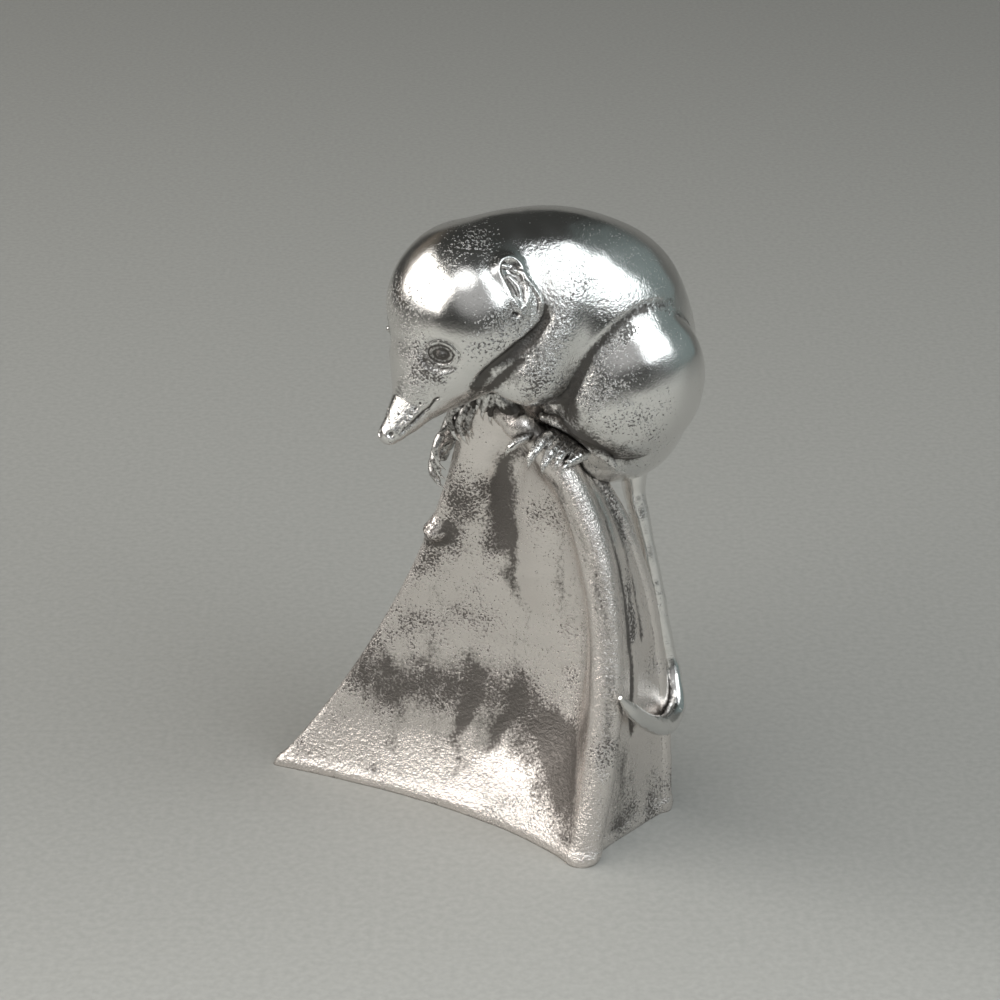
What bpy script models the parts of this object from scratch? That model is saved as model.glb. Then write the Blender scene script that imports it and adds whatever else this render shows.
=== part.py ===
"""A shrew crouched on a three-ridged perch: a small silver ornament, cast in
sections that are pinned and soldered together.

World axes: +Z up, -Y towards the front, origin under the middle of the whole
piece on the surface that it stands on. Sizes below are in millimetres, angles
in degrees.
"""

import math

import bmesh
import bpy
import numpy as np
from mathutils import Matrix, Vector

MM = 0.001

# Gaps between castings
SEAT_GAP = 0.3
PIN_GAP = 0.3

# Perch: where its three ridges stand and where they end below the shrew
LEFT, FRONT, RIGHT = range(3)
CROWN_HEIGHT = 68.5
CROWN = Vector((3.0, -2.5, CROWN_HEIGHT))
LEFT_FOOT = Vector((-33.2, 13.0, 0.0))
FRONT_FOOT = Vector((16.0, -17.7, 0.0))
RIGHT_FOOT = Vector((29.0, -0.4, 0.0))
CROWN_LEFT = Vector((-5.6, 1.2, 0.0))
CROWN_FRONT = Vector((1.6, -4.2, -0.5))
CROWN_RIGHT = Vector((6.0, 2.0, -2.5))
# How each ridge leans: its Bezier handles, as shares of the crown's height
LEFT_LEAN = ((-16.6, 12.1, 0.32), (-6.8, 2.8, 0.73))
FRONT_LEAN = ((21.2, -15.6, 0.36), (21.8, -12.6, 0.84))
RIGHT_LEAN = ((28.8, 2.6, 0.32), (27.2, 2.6, 0.74))
# Ridge thickness, as the radius of its rounded edge at the foot and the crown
LEFT_EDGE = (0.7, 2.0)
FRONT_EDGE = (3.8, 2.6)
RIGHT_EDGE = (1.6, 2.2)
# The most that an edge's radius may be of its distance from the middle
EDGE_LIMIT = 0.4
# The plain swelling back has no ridge: it is drawn out towards a line from here to there
BACK_FOOT = Vector((6.0, 16.0, 0.0))
CROWN_BACK = Vector((2.0, 4.0, -1.0))
# How far each side is drawn in to the middle, 0 to 1, beside its first and second ridge,
# and the back towards its line
FRONT_HOLLOW = (0.78, 0.44)
RIGHT_HOLLOW = (0.0, 0.06)
BACK_SWELL = (0.6, 0.6)
# How far a ring's middle lies from the mean of its tips towards its right side, 0 to 1
MIDDLE_SHIFT = 0.25
# The crown's domed top: its rise, the width left flat at its peak and its steps
CROWN_DOME = 1.6
CROWN_FLAT = 0.2
CROWN_STEPS = (0.35, 0.7, 1.0)
RINGS = 17
SIDE_STEPS = 7
EDGE_STEPS = 4

# Perch: the hollow inside, and the plate that closes it from below
HOLLOW_WIDTH = 0.54
HOLLOW_TOP = 0.55
HOLLOW_RINGS = 5
LEDGE_WIDTH = 0.68
PLATE_THICKNESS = 1.2
PLATE_RECESS = 0.4
VENT_AT = (10.0, -4.0, 1.0)
VENT_RADIUS = 1.5
# How far a cutter passes the face that it opens
OVERRUN = 1.0

# Shrew: the way it faces, turned about the vertical from +X
HEADING = 200.0
HEAD_TURN = 18.0
SHREW_LIFT = 1.0

# Shrew's body, in its own axes: forward, left, up from the crown of the perch
BACK_AT = Vector((-12.6, 0.0, 8.6))
BACK_RADII = (16.2, 13.6, 16.4)
RUMP_AT = Vector((-16.6, 0.0, -0.8))
RUMP_RADII = (14.4, 12.6, 14.6)
SHOULDER_AT = Vector((-5.6, 0.0, 13.8))
SHOULDER_RADII = (13.4, 12.0, 14.0)
WAIST_AT = Vector((-9.2, 0.0, 11.2))
WAIST_RADII = (14.8, 12.7, 15.2)
CHEST_AT = Vector((-2.6, 0.0, 6.8))
CHEST_RADII = (7.5, 8.0, 7.0)

# Neck joint: a flat cut between the body and the head
NECK_AT = Vector((-0.4, 0.0, 12.0))
NECK_PITCH = 22.0
NECK_YAW = 9.0

# Head, in its own axes from the middle of the skull
HEAD_AT = Vector((5.2, 1.0, 14.4))
SKULL_RADII = (12.7, 11.8, 12.8)
CHEEK_AT = Vector((2.4, 0.0, -5.2))
CHEEK_RADII = (8.4, 8.0, 7.2)
SNOUT_LINE = ((5.2, 0.0, -5.8), (10.4, 0.0, -10.8), (13.2, 0.0, -14.0), (14.4, 0.0, -15.4))
SNOUT_RADII = (7.0, 4.2, 2.5, 1.9)
LEFT_EAR_AT = Vector((0.2, 10.6, 6.8))
RIGHT_EAR_AT = Vector((-2.6, -10.4, 5.2))
EAR_RADII = (1.9, 1.4, 3.6)
EAR_TILT = -38.0

# Hind legs: thigh and knee, for the left side and mirrored for the right
THIGH_AT = Vector((-16.8, 8.0, 3.6))
THIGH_RADII = (9.4, 6.6, 13.6)
THIGH_LEAN = 24.0
KNEE_AT = Vector((-11.2, 8.6, -1.6))
KNEE_RADIUS = 4.6

# Forelegs: upper arm, elbow and wrist
ARM_LINE = ((-4.6, 8.0, 13.5), (-3.4, 9.4, 8.0), (-1.6, 8.0, 4.4), (0.6, 5.0, 3.0))
ARM_RADII = (4.6, 4.0, 3.4, 2.2)

# Feet and paws, from heel to pad, then toe by toe
TOE_RADII = (0.95, 0.9, 0.45)
LEFT_HIND_FOOT = ((-12.9, 10.2, -8.2), (-10.0, 10.4, -4.6), (-6.4, 9.8, -2.2))
LEFT_HIND_TOES = (
    ((-5.0, 8.7, -1.8), (-1.9, 8.6, -2.0), (-0.2, 8.5, -3.7)),
    ((-5.4, 9.8, -1.9), (-2.8, 10.0, -2.2), (-1.6, 10.1, -4.5)),
    ((-6.2, 10.7, -2.1), (-4.0, 11.3, -2.8), (-2.9, 11.4, -4.9)),
    ((-7.4, 11.2, -2.8), (-6.0, 12.4, -3.5), (-4.6, 12.4, -4.9)),
)
RIGHT_HIND_FOOT = ((-6.5, -10.5, -4.5), (-1.0, -11.0, -7.0), (4.6, -9.6, -9.6))
RIGHT_HIND_TOES = (
    ((4.6, -9.4, -10.0), (7.2, -8.6, -12.0), (7.2, -8.1, -16.0)),
    ((4.6, -8.6, -9.4), (7.0, -7.7, -10.6), (6.8, -7.3, -14.8)),
    ((4.4, -7.8, -8.8), (6.8, -6.8, -9.4), (6.4, -6.4, -13.2)),
)
FOOT_RADII = (1.3, 1.9, 1.8)
LEFT_FOREPAW = ((0.8, 4.8, 3.0), (3.0, 3.8, 2.9))
LEFT_FORE_TOES = (
    ((3.8, 3.2, 3.0), (6.0, 3.6, 2.3), (6.6, 3.5, 0.3)),
    ((3.2, 4.2, 3.0), (5.0, 5.1, 2.1), (5.6, 4.9, 0.0)),
    ((2.2, 4.8, 2.8), (4.0, 5.9, 1.8), (4.6, 5.7, -0.5)),
)
RIGHT_FOREPAW = ((1.4, -5.4, 2.2), (4.4, -4.4, -0.6))
RIGHT_FORE_TOES = (
    ((4.6, -4.2, -0.8), (7.0, -3.6, -2.2), (7.2, -3.7, -5.6)),
    ((4.6, -3.0, -0.6), (6.8, -1.9, -2.2), (6.6, -1.9, -5.6)),
    ((4.2, -1.8, -0.4), (6.2, -0.2, -1.6), (6.0, 0.0, -4.6)),
)
PAW_RADII = (1.7, 1.7)

# Tail: the ridge it lies along, how far up that ridge, and its way from the ridge's tip
TAIL_STOPS = (
    (RIGHT, 0.82, (4.3, 6.3, 0.5)),
    (RIGHT, 0.72, (1.9, 5.2, 0.0)),
    (RIGHT, 0.61, (0.7, 3.9, 0.0)),
    (RIGHT, 0.50, (0.2, 3.2, 0.0)),
    (RIGHT, 0.38, (0.1, 2.7, 0.0)),
    (RIGHT, 0.30, (0.8, 1.9, 0.0)),
    (RIGHT, 0.24, (0.8, -1.4, 0.3)),
    (RIGHT, 0.24, (-1.0, -6.2, 0.3)),
    (FRONT, 0.26, (5.7, 6.0, -0.2)),
    (FRONT, 0.31, (2.9, 1.2, 0.2)),
    (FRONT, 0.36, (0.8, -1.8, -0.2)),
)
TAIL_RADII = (2.0, 1.5, 1.3, 1.3, 1.4, 1.5, 1.5, 1.5, 1.4, 1.1, 0.6)

# How the lumps of a piece become one skin: the grain of the clay, the rounds of
# smoothing and the share of its faces that are kept
TRUNK_SKIN = (0.9, 14, 0.12)
HEAD_SKIN = (0.6, 6, 0.11)
LEG_SKIN = (0.8, 5, 0.1)
ARM_SKIN = (0.6, 5, 0.1)
FOOT_SKIN = (0.35, 3, 0.08)
TAIL_SKIN = (0.5, 3, 0.11)
# The seat for the perch: its grain and the share of its faces that are kept
SEAT_SKIN = (0.8, 0.06)
LUMP_SIDES = 24
ROLL_SIDES = 12
ROLL_STEPS = 6
PIN_SIDES = 20

# Pins between castings
PIN_RADIUS = 1.0
FRONT_PIN_AT = CROWN + Vector((4.8, 0.6, -1.5))
REAR_PIN_AT = CROWN + Vector((13.0, 1.3, -13.5))
MOUNT_PIN_LENGTH = 15.0
NECK_PIN_LENGTH = 10.0

# Colours, as plain linear RGB
SILVER = (0.62, 0.61, 0.60)
POLISHED_SILVER = (0.72, 0.72, 0.71)
DARK_SILVER = (0.36, 0.35, 0.33)


def clear_scene():
    for thing in list(bpy.data.objects):
        bpy.data.objects.remove(thing, do_unlink=True)


def metal(name, colour, roughness):
    material = bpy.data.materials.new(name)
    material.use_nodes = True
    shader = material.node_tree.nodes["Principled BSDF"]
    shader.inputs["Base Color"].default_value = (*colour, 1.0)
    shader.inputs["Metallic"].default_value = 1.0
    shader.inputs["Roughness"].default_value = roughness
    return material


def new_object(name, shape, material=None):
    """Turn a bmesh into an object of the scene."""
    mesh = bpy.data.meshes.new(name)
    shape.to_mesh(mesh)
    shape.free()
    mesh.shade_smooth()
    if material:
        mesh.materials.append(material)
    thing = bpy.data.objects.new(name, mesh)
    bpy.context.collection.objects.link(thing)
    return thing


def hide_as_cutter(thing):
    thing.hide_render = True
    thing.display_type = "WIRE"
    return thing


def cut(thing, cutter):
    """Take the cutter's shape out of a piece."""
    boolean = thing.modifiers.new("cut by " + cutter.name, "BOOLEAN")
    boolean.operation = "DIFFERENCE"
    boolean.solver = "EXACT"
    boolean.object = cutter


def body_axes():
    """The shrew's own axes: forward, left, up, from the crown of the perch."""
    lift = Vector((0.0, 0.0, SHREW_LIFT))
    return Matrix.Translation(CROWN + lift) @ Matrix.Rotation(math.radians(HEADING), 4, "Z")


def head_axes():
    turn = Matrix.Rotation(math.radians(HEAD_TURN), 4, "Z")
    return body_axes() @ Matrix.Translation(HEAD_AT) @ turn


def smooth_line(points, steps):
    """Points along a smooth curve through the given ones, ends included."""
    given = [Vector(point) for point in points]
    given = [2 * given[0] - given[1]] + given + [2 * given[-1] - given[-2]]
    line = []
    for before, start, end, after in zip(given, given[1:], given[2:], given[3:]):
        for step in range(steps):
            t = step / steps
            line.append(0.5 * (2 * start + (end - before) * t
                               + (2 * before - 5 * start + 4 * end - after) * t ** 2
                               + (3 * (start - end) + after - before) * t ** 3))
    line.append(given[-2])
    return line


def add_lump(shape, axes, centre, radii, turn=None):
    """A lump of clay: an ellipsoid with its own radii along the given axes."""
    place = axes @ Matrix.Translation(Vector(centre))
    if turn:
        place = place @ turn
    size = Matrix.Diagonal((*radii, 1.0))
    matrix = Matrix.Scale(MM, 4) @ place @ size
    bmesh.ops.create_uvsphere(shape, u_segments=LUMP_SIDES, v_segments=2 * LUMP_SIDES // 3,
                              radius=1.0, matrix=matrix)


def add_roll(shape, axes, points, radii):
    """A tapered roll of clay along a smooth line."""
    line = smooth_line(points, ROLL_STEPS)
    places = np.linspace(0.0, len(radii) - 1.0, len(line))
    sizes = np.interp(places, range(len(radii)), radii)
    for centre, radius in zip(line, sizes):
        matrix = Matrix.Scale(MM, 4) @ axes @ Matrix.Translation(centre)
        bmesh.ops.create_uvsphere(shape, u_segments=ROLL_SIDES, v_segments=2 * ROLL_SIDES // 3,
                                  radius=radius, matrix=matrix)


def model(name, shape, material, finish):
    """Press the lumps of a piece into one skin, smooth it and thin its faces."""
    grain, rounds, share = finish
    thing = new_object(name, shape, material)
    skin = thing.modifiers.new("one skin", "REMESH")
    skin.mode = "VOXEL"
    skin.voxel_size = grain * MM
    skin.use_smooth_shade = True
    soften = thing.modifiers.new("soften creases", "SMOOTH")
    soften.factor = 0.5
    soften.iterations = rounds
    thin = thing.modifiers.new("thin faces", "DECIMATE")
    thin.ratio = share
    return thing


def grown(thing, gap, finish=None):
    """A cutter in the shape of a piece before its own cuts, larger by a gap."""
    copy = thing.copy()
    copy.name = thing.name + "_seat"
    bpy.context.collection.objects.link(copy)
    for modifier in list(copy.modifiers):
        if modifier.type == "BOOLEAN":
            copy.modifiers.remove(modifier)
    swell = copy.modifiers.new("seat gap", "DISPLACE")
    swell.strength = gap * MM
    swell.mid_level = 0.0
    if finish:
        grain, share = finish
        skin = copy.modifiers.new("one skin again", "REMESH")
        skin.mode = "VOXEL"
        skin.voxel_size = grain * MM
        thin = copy.modifiers.new("thin faces again", "DECIMATE")
        thin.ratio = share
    return hide_as_cutter(copy)


def pin(name, middle, direction, length, radius, material=None):
    """A plain round pin about its middle, along a direction."""
    shape = bmesh.new()
    turn = Vector(direction).to_track_quat("Z", "Y").to_matrix().to_4x4()
    matrix = Matrix.Translation(Vector(middle) * MM) @ turn
    bmesh.ops.create_cone(shape, cap_ends=True, segments=PIN_SIDES, radius1=radius * MM,
                          radius2=radius * MM, depth=length * MM, matrix=matrix)
    return new_object(name, shape, material)


def ridge_places(share):
    """Where the tips of the left, front and right ridges are, from foot 0 to crown 1."""
    tips = []
    for foot, lean, crown in ((LEFT_FOOT, LEFT_LEAN, CROWN_LEFT),
                              (FRONT_FOOT, FRONT_LEAN, CROWN_FRONT),
                              (RIGHT_FOOT, RIGHT_LEAN, CROWN_RIGHT)):
        low, high = (Vector((x, y, up * CROWN_HEIGHT)) for x, y, up in lean)
        top = CROWN + crown
        rest = 1.0 - share
        tips.append(rest ** 3 * foot + 3 * rest ** 2 * share * low
                    + 3 * rest * share ** 2 * high + share ** 3 * top)
    return tips


def perch_ring(share):
    """One closed ring of the perch: three rounded edges joined by drawn-in sides."""
    tips = ridge_places(share)
    middle = sum(tips, Vector()) / 3.0
    middle = middle.lerp((tips[FRONT] + tips[RIGHT]) / 2, MIDDLE_SHIFT)
    edges = []
    for tip, (foot, crown) in zip(tips, (LEFT_EDGE, FRONT_EDGE, RIGHT_EDGE)):
        outward = tip - middle
        outward.z = 0.0
        radius = min(foot + (crown - foot) * share, EDGE_LIMIT * outward.length)
        outward.normalize()
        centre = tip - outward * radius
        start = math.atan2(outward.y, outward.x) - math.pi / 2
        arc = []
        for step in range(EDGE_STEPS + 1):
            angle = start + math.pi * step / EDGE_STEPS
            arc.append(centre + Vector((math.cos(angle), math.sin(angle), 0.0)) * radius)
        edges.append(arc)
    ring = []
    back = BACK_FOOT.lerp(CROWN + CROWN_BACK, share)
    sides = ((FRONT_HOLLOW, middle), (RIGHT_HOLLOW, middle), (BACK_SWELL, back))
    for index, (pull, towards) in enumerate(sides):
        here, there = edges[index], edges[(index + 1) % 3]
        ring.extend(here)
        start, end = here[-1], there[0]
        pull_start = start.lerp(towards, pull[0])
        pull_end = end.lerp(towards, pull[1])
        for step in range(1, SIDE_STEPS):
            t = step / SIDE_STEPS
            rest = 1.0 - t
            ring.append(rest ** 3 * start + 3 * rest ** 2 * t * pull_start
                        + 3 * rest * t ** 2 * pull_end + t ** 3 * end)
    return ring


def loft(shape, rings):
    """Skin a stack of rings, with a cap at the first and the last."""
    loops = [[shape.verts.new(point * MM) for point in ring] for ring in rings]
    for low, high in zip(loops, loops[1:]):
        count = len(low)
        for index in range(count):
            after = (index + 1) % count
            shape.faces.new((low[index], low[after], high[after], high[index]))
    shape.faces.new(loops[-1])
    shape.faces.new(reversed(loops[0]))


def perch_body():
    shape = bmesh.new()
    rings = [perch_ring(step / RINGS) for step in range(RINGS + 1)]
    top = rings[-1]
    middle = sum(top, Vector()) / len(top)
    for share in CROWN_STEPS:
        shrink = math.sqrt(1.0 - share ** 2 * (1.0 - CROWN_FLAT ** 2))
        rise = Vector((0.0, 0.0, CROWN_DOME * share))
        rings.append([middle + (point - middle) * shrink + rise for point in top])
    loft(shape, rings)
    return shape


def narrowed(ring, share):
    """A ring drawn in towards its middle, keeping its height."""
    middle = sum(ring, Vector()) / len(ring)
    return [middle.lerp(point, share) for point in ring]


def inset(ring, distance):
    """A flat ring moved inwards by the same distance all round."""
    moved = []
    for index, point in enumerate(ring):
        along = ring[(index + 1) % len(ring)] - ring[index - 1]
        inward = Vector((-along.y, along.x, 0.0)).normalized()
        moved.append(point + inward * distance)
    return moved


def raised(ring, height):
    return [Vector((point.x, point.y, height)) for point in ring]


def perch_hollow():
    """The space inside the perch, open below."""
    shape = bmesh.new()
    shares = [HOLLOW_TOP * step / HOLLOW_RINGS for step in range(HOLLOW_RINGS + 1)]
    rings = [narrowed(perch_ring(share), HOLLOW_WIDTH) for share in shares]
    rings.insert(0, raised(rings[0], -OVERRUN))
    loft(shape, rings)
    return shape


def ledge_ring():
    return narrowed(perch_ring(0.0), LEDGE_WIDTH)


def plate_ledge():
    """The shallow step under the perch that the floor plate sits in."""
    shape = bmesh.new()
    depth = PLATE_RECESS + PLATE_THICKNESS + SEAT_GAP
    loft(shape, [raised(ledge_ring(), -OVERRUN), raised(ledge_ring(), depth)])
    return shape


def floor_plate():
    shape = bmesh.new()
    outline = inset(ledge_ring(), SEAT_GAP)
    loft(shape, [raised(outline, PLATE_RECESS), raised(outline, PLATE_RECESS + PLATE_THICKNESS)])
    return shape


def neck_axes():
    """The neck joint's axes: its middle, with forward along its normal."""
    yaw = Matrix.Rotation(math.radians(NECK_YAW), 4, "Z")
    pitch = Matrix.Rotation(math.radians(NECK_PITCH), 4, "Y")
    return body_axes() @ Matrix.Translation(NECK_AT) @ yaw @ pitch


def neck_block(name, side):
    """A block on one side of the neck joint, from half a gap away from it."""
    shape = bmesh.new()
    reach = 4 * max(SHOULDER_RADII)
    axes = neck_axes() @ Matrix.Translation(Vector((side * (reach - SEAT_GAP) / 2, 0.0, 0.0)))
    bmesh.ops.create_cube(shape, size=reach, matrix=Matrix.Scale(MM, 4) @ axes)
    return hide_as_cutter(new_object(name, shape))


def main():
    clear_scene()
    silver = metal("silver", SILVER, 0.3)
    polished = metal("polished_silver", POLISHED_SILVER, 0.15)
    dark = metal("dark_silver", DARK_SILVER, 0.5)
    axes = body_axes()

    perch = new_object("perch_casting", perch_body(), silver)
    perch_seat = grown(perch, SEAT_GAP, SEAT_SKIN)
    cut(perch, hide_as_cutter(new_object("perch_hollow", perch_hollow())))
    cut(perch, hide_as_cutter(new_object("plate_ledge", plate_ledge())))
    plate = new_object("floor_plate", floor_plate(), silver)
    cut(plate, hide_as_cutter(pin("vent", VENT_AT, (0, 0, 1), 4 * PLATE_THICKNESS, VENT_RADIUS)))

    shape = bmesh.new()
    add_lump(shape, axes, BACK_AT, BACK_RADII)
    add_lump(shape, axes, RUMP_AT, RUMP_RADII)
    add_lump(shape, axes, WAIST_AT, WAIST_RADII)
    add_lump(shape, axes, SHOULDER_AT, SHOULDER_RADII)
    add_lump(shape, axes, CHEST_AT, CHEST_RADII)
    trunk = model("trunk_casting", shape, polished, TRUNK_SKIN)

    shape = bmesh.new()
    skull_axes = head_axes()
    add_lump(shape, skull_axes, (0, 0, 0), SKULL_RADII)
    add_lump(shape, skull_axes, CHEEK_AT, CHEEK_RADII)
    add_roll(shape, skull_axes, SNOUT_LINE, SNOUT_RADII)
    for ear in (LEFT_EAR_AT, RIGHT_EAR_AT):
        turn = Matrix.Rotation(math.radians(EAR_TILT), 4, "Y")
        add_lump(shape, skull_axes, ear, EAR_RADII, turn)
    head = model("head_casting", shape, polished, HEAD_SKIN)
    cut(trunk, neck_block("neck_front", 1))
    cut(head, neck_block("neck_back", -1))

    trunk_seat = grown(trunk, SEAT_GAP)
    head_seat = grown(head, SEAT_GAP)
    cut(trunk, perch_seat)
    cut(head, perch_seat)

    feet = {
        "left": (LEFT_HIND_FOOT, LEFT_HIND_TOES, LEFT_FOREPAW, LEFT_FORE_TOES),
        "right": (RIGHT_HIND_FOOT, RIGHT_HIND_TOES, RIGHT_FOREPAW, RIGHT_FORE_TOES),
    }
    for side, (foot, toes, paw, fingers) in feet.items():
        flip = 1 if side == "left" else -1
        shape = bmesh.new()
        thigh = Vector((THIGH_AT.x, flip * THIGH_AT.y, THIGH_AT.z))
        lean = Matrix.Rotation(math.radians(THIGH_LEAN), 4, "Y")
        add_lump(shape, axes, thigh, THIGH_RADII, lean)
        knee = Vector((KNEE_AT.x, flip * KNEE_AT.y, KNEE_AT.z))
        add_lump(shape, axes, knee, [KNEE_RADIUS] * 3)
        leg = model(side + "_hind_leg", shape, polished, LEG_SKIN)
        leg_seat = grown(leg, SEAT_GAP)
        cut(leg, perch_seat)
        cut(trunk, leg_seat)

        shape = bmesh.new()
        add_roll(shape, axes, [(x, flip * y, z) for x, y, z in ARM_LINE], ARM_RADII)
        arm = model(side + "_foreleg", shape, polished, ARM_SKIN)
        arm_seat = grown(arm, SEAT_GAP)
        for neighbour in (perch_seat, leg_seat):
            cut(arm, neighbour)
        cut(trunk, arm_seat)
        cut(head, arm_seat)

        shape = bmesh.new()
        add_roll(shape, axes, foot, FOOT_RADII)
        for toe in toes:
            add_roll(shape, axes, toe, TOE_RADII)
        heel = model(side + "_hind_foot", shape, dark, FOOT_SKIN)
        for neighbour in (perch_seat, trunk_seat, leg_seat):
            cut(heel, neighbour)

        shape = bmesh.new()
        add_roll(shape, axes, paw, PAW_RADII)
        for finger in fingers:
            add_roll(shape, axes, finger, TOE_RADII)
        hand = model(side + "_forepaw", shape, dark, FOOT_SKIN)
        for neighbour in (perch_seat, trunk_seat, head_seat, arm_seat):
            cut(hand, neighbour)

    shape = bmesh.new()
    line = [ridge_places(share)[ridge] + Vector(away) for ridge, share, away in TAIL_STOPS]
    add_roll(shape, Matrix.Identity(4), line, TAIL_RADII)
    tail = model("tail", shape, silver, TAIL_SKIN)
    cut(tail, perch_seat)
    cut(tail, trunk_seat)

    neck_normal = neck_axes().to_3x3() @ Vector((1.0, 0.0, 0.0))
    pins = (
        ("front_mounting_pin", FRONT_PIN_AT, (0, 0, 1), MOUNT_PIN_LENGTH, (perch, trunk)),
        ("rear_mounting_pin", REAR_PIN_AT, (0, 0, 1), MOUNT_PIN_LENGTH, (perch, trunk)),
        ("neck_pin", neck_axes().translation, neck_normal, NECK_PIN_LENGTH, (trunk, head)),
    )
    for name, middle, direction, length, neighbours in pins:
        pin(name, middle, direction, length, PIN_RADIUS, silver)
        hole = pin(name + "_hole", middle, direction, length + 2 * PIN_GAP, PIN_RADIUS + PIN_GAP)
        hide_as_cutter(hole)
        for neighbour in neighbours:
            cut(neighbour, hole)


main()
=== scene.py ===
"""A cast silver shrew crouched on a three-ridged perch, in a plain studio.

The shrew and the perch are modelled as clay is: lumps and rolls are pressed into one
skin, which is then drawn on with raised and sunken strokes. Lengths are in millimetres
and angles in degrees. The shrew has its own axes: forward, left and up from the crown of
the perch. Its head has the same, from the middle of the skull.
"""

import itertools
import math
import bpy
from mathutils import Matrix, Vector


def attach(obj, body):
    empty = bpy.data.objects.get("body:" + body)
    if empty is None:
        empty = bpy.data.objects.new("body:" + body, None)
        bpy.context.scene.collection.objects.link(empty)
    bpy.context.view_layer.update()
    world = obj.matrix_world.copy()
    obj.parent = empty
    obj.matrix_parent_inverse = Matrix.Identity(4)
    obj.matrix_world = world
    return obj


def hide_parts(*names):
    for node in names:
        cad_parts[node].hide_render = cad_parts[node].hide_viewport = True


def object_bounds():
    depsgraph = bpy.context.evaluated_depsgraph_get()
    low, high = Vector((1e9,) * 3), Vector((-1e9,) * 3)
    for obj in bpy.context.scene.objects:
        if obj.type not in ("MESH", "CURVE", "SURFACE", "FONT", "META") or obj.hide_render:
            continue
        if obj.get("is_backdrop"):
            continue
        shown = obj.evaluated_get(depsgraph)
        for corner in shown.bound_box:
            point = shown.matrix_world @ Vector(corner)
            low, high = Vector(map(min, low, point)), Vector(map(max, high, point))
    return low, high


bl_info = {
    "name": "Silver shrew figurine",
    "version": (1, 0, 0),
    "blender": (4, 5, 0),
    "location": "View3D > Sidebar > Shrew",
    "description": "Models a cast silver shrew on its perch, with a studio to show it in",
    "category": "Object",
}

import bpy
import numpy as np
from bpy.props import FloatProperty, FloatVectorProperty, IntProperty, PointerProperty
from bpy.types import Operator, Panel, PropertyGroup
from mathutils import Matrix, Vector
from mathutils.bvhtree import BVHTree

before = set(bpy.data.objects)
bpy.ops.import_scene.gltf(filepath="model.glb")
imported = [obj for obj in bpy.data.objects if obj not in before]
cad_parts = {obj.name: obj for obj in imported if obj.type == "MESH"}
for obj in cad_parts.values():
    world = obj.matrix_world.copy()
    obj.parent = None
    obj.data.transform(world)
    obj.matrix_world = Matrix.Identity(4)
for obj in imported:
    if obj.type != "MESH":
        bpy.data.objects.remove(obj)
CAD_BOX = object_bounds()
ROOT = "root"
MM = 0.001

# Grain of the silver: how many to the metre, and the depth of a full dent
GRAINS_PER_METRE = 3600.0
DENTS_PER_METRE = 1700.0
DENT_DEPTH = 0.24
# Casting pits: how many to the metre, in how many patches, where their edges start and
# end, how dark they are, and their depth as a share of a dent's
PITS_PER_METRE = 2700.0
PATCHES_PER_METRE = 110.0
PIT_EDGE = (-0.02, 0.11)
PIT_DARKNESS = 0.85
PIT_DEPTH = 0.25
# Dark silver, patina and painted shade alike: the rags of its edge, as how many to the metre, how
# much of their height counts and how far they reach; where the edge starts and ends; and how rough
# it is
RAGS = ((2400.0, 1.0, 1.7), (420.0, 0.22, 1.1))
PATINA_AND_SHADE_EDGE = (0.24, 0.78)
PATINA_AND_SHADE_ROUGHNESS = 0.5
# How deep a hollow has to be to fill with dark silver, as rounds of evening out and depth
PERCH_HOLLOWS = ((6, 0.08), (40, 1.0))
SHREW_HOLLOWS = ((6, 0.06), (30, 0.5))
PAW_HOLLOWS = ((6, 0.12), (20, 0.4))
# How near another piece shelters a spot, so that it darkens, as patina and painted contact shade
SHELTER = 0.9
# The span that noise mostly keeps to, and how it clouds the polish and flecks the card
NOISE_SPAN = (0.3, 0.7)
CLOUDS_PER_METRE = 180.0
CLOUDING = (0.75, 1.3)
FLECKS_PER_METRE = 900.0
FLECKING = (0.94, 1.06)
# Each silver's fine grain, dents and cover of pits, as base and gain by wear, and the strength of
# its patina and painted shade
SILVERS = {
    "polished": {"fine": (0.06, 0.35), "dents": (0.05, 0.8), "cover": (0.60, 0.36), "patina": 0.9},
    "satin": {"fine": (0.2, 0.4), "dents": (0.10, 1.1), "cover": (0.68, 0.50), "patina": 0.84},
    "darkened": {"fine": (0.12, 0.0), "dents": (0.14, 0.0), "cover": (0.74, 0.0), "patina": 0.95},
    "matte": {"fine": (0.5, 0.0), "dents": (0.3, 0.0), "cover": (0.6, 0.0), "patina": 0.5},
}
MATTE_ROUGHNESS = 0.45

# The point that the camera looks at, its sensor and how near it sees in metres
TARGET = (2.6, 8.6, 48.0)
SENSOR_WIDTH = 36.0
NEAR_LIMIT = 0.01
# Softboxes and what they face, in metres: azimuth (0 behind, 90 right), elevation, size, tint
SOFTBOX_AIM = (0.0, 0.0, 0.06)
SOFTBOX_AWAY = 1.0
SOFTBOXES = {
    "left softbox": (256.0, 31.0, (1.5, 0.86), (1.0, 0.965, 0.92)),
    "right softbox": (124.0, 40.0, (0.64, 1.0), (0.92, 0.97, 1.0)),
}
# The studio's dark room, and pale lobes in it: azimuth, elevation, the angles of their full
# and faded parts, and colour
ROOM = (0.035, 0.036, 0.034)
LOBES = (
    (75.0, 12.0, 12.0, 55.0, (0.14, 0.18, 0.18)),
    (172.0, 36.0, 10.0, 42.0, (0.36, 0.36, 0.36)),
    (196.0, 56.0, 8.0, 18.0, (1.5, 1.5, 1.5)),
    (312.0, 8.0, 8.0, 45.0, (0.13, 0.105, 0.08)),
)
# The card in metres: half its width, where it starts and bends, the radius, angle and steps
# of the bend, and the straight run above it; then its finish
CARD_SIDE = 1.6
CARD_START = -0.7
CARD_BEND = 0.6
CARD_SWEEP = 0.5
CARD_TILT = 60
CARD_STEP = 10
CARD_RUN = 0.5
CARD_ROUGHNESS = 0.9
CARD_SHEEN = 0.2
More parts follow.
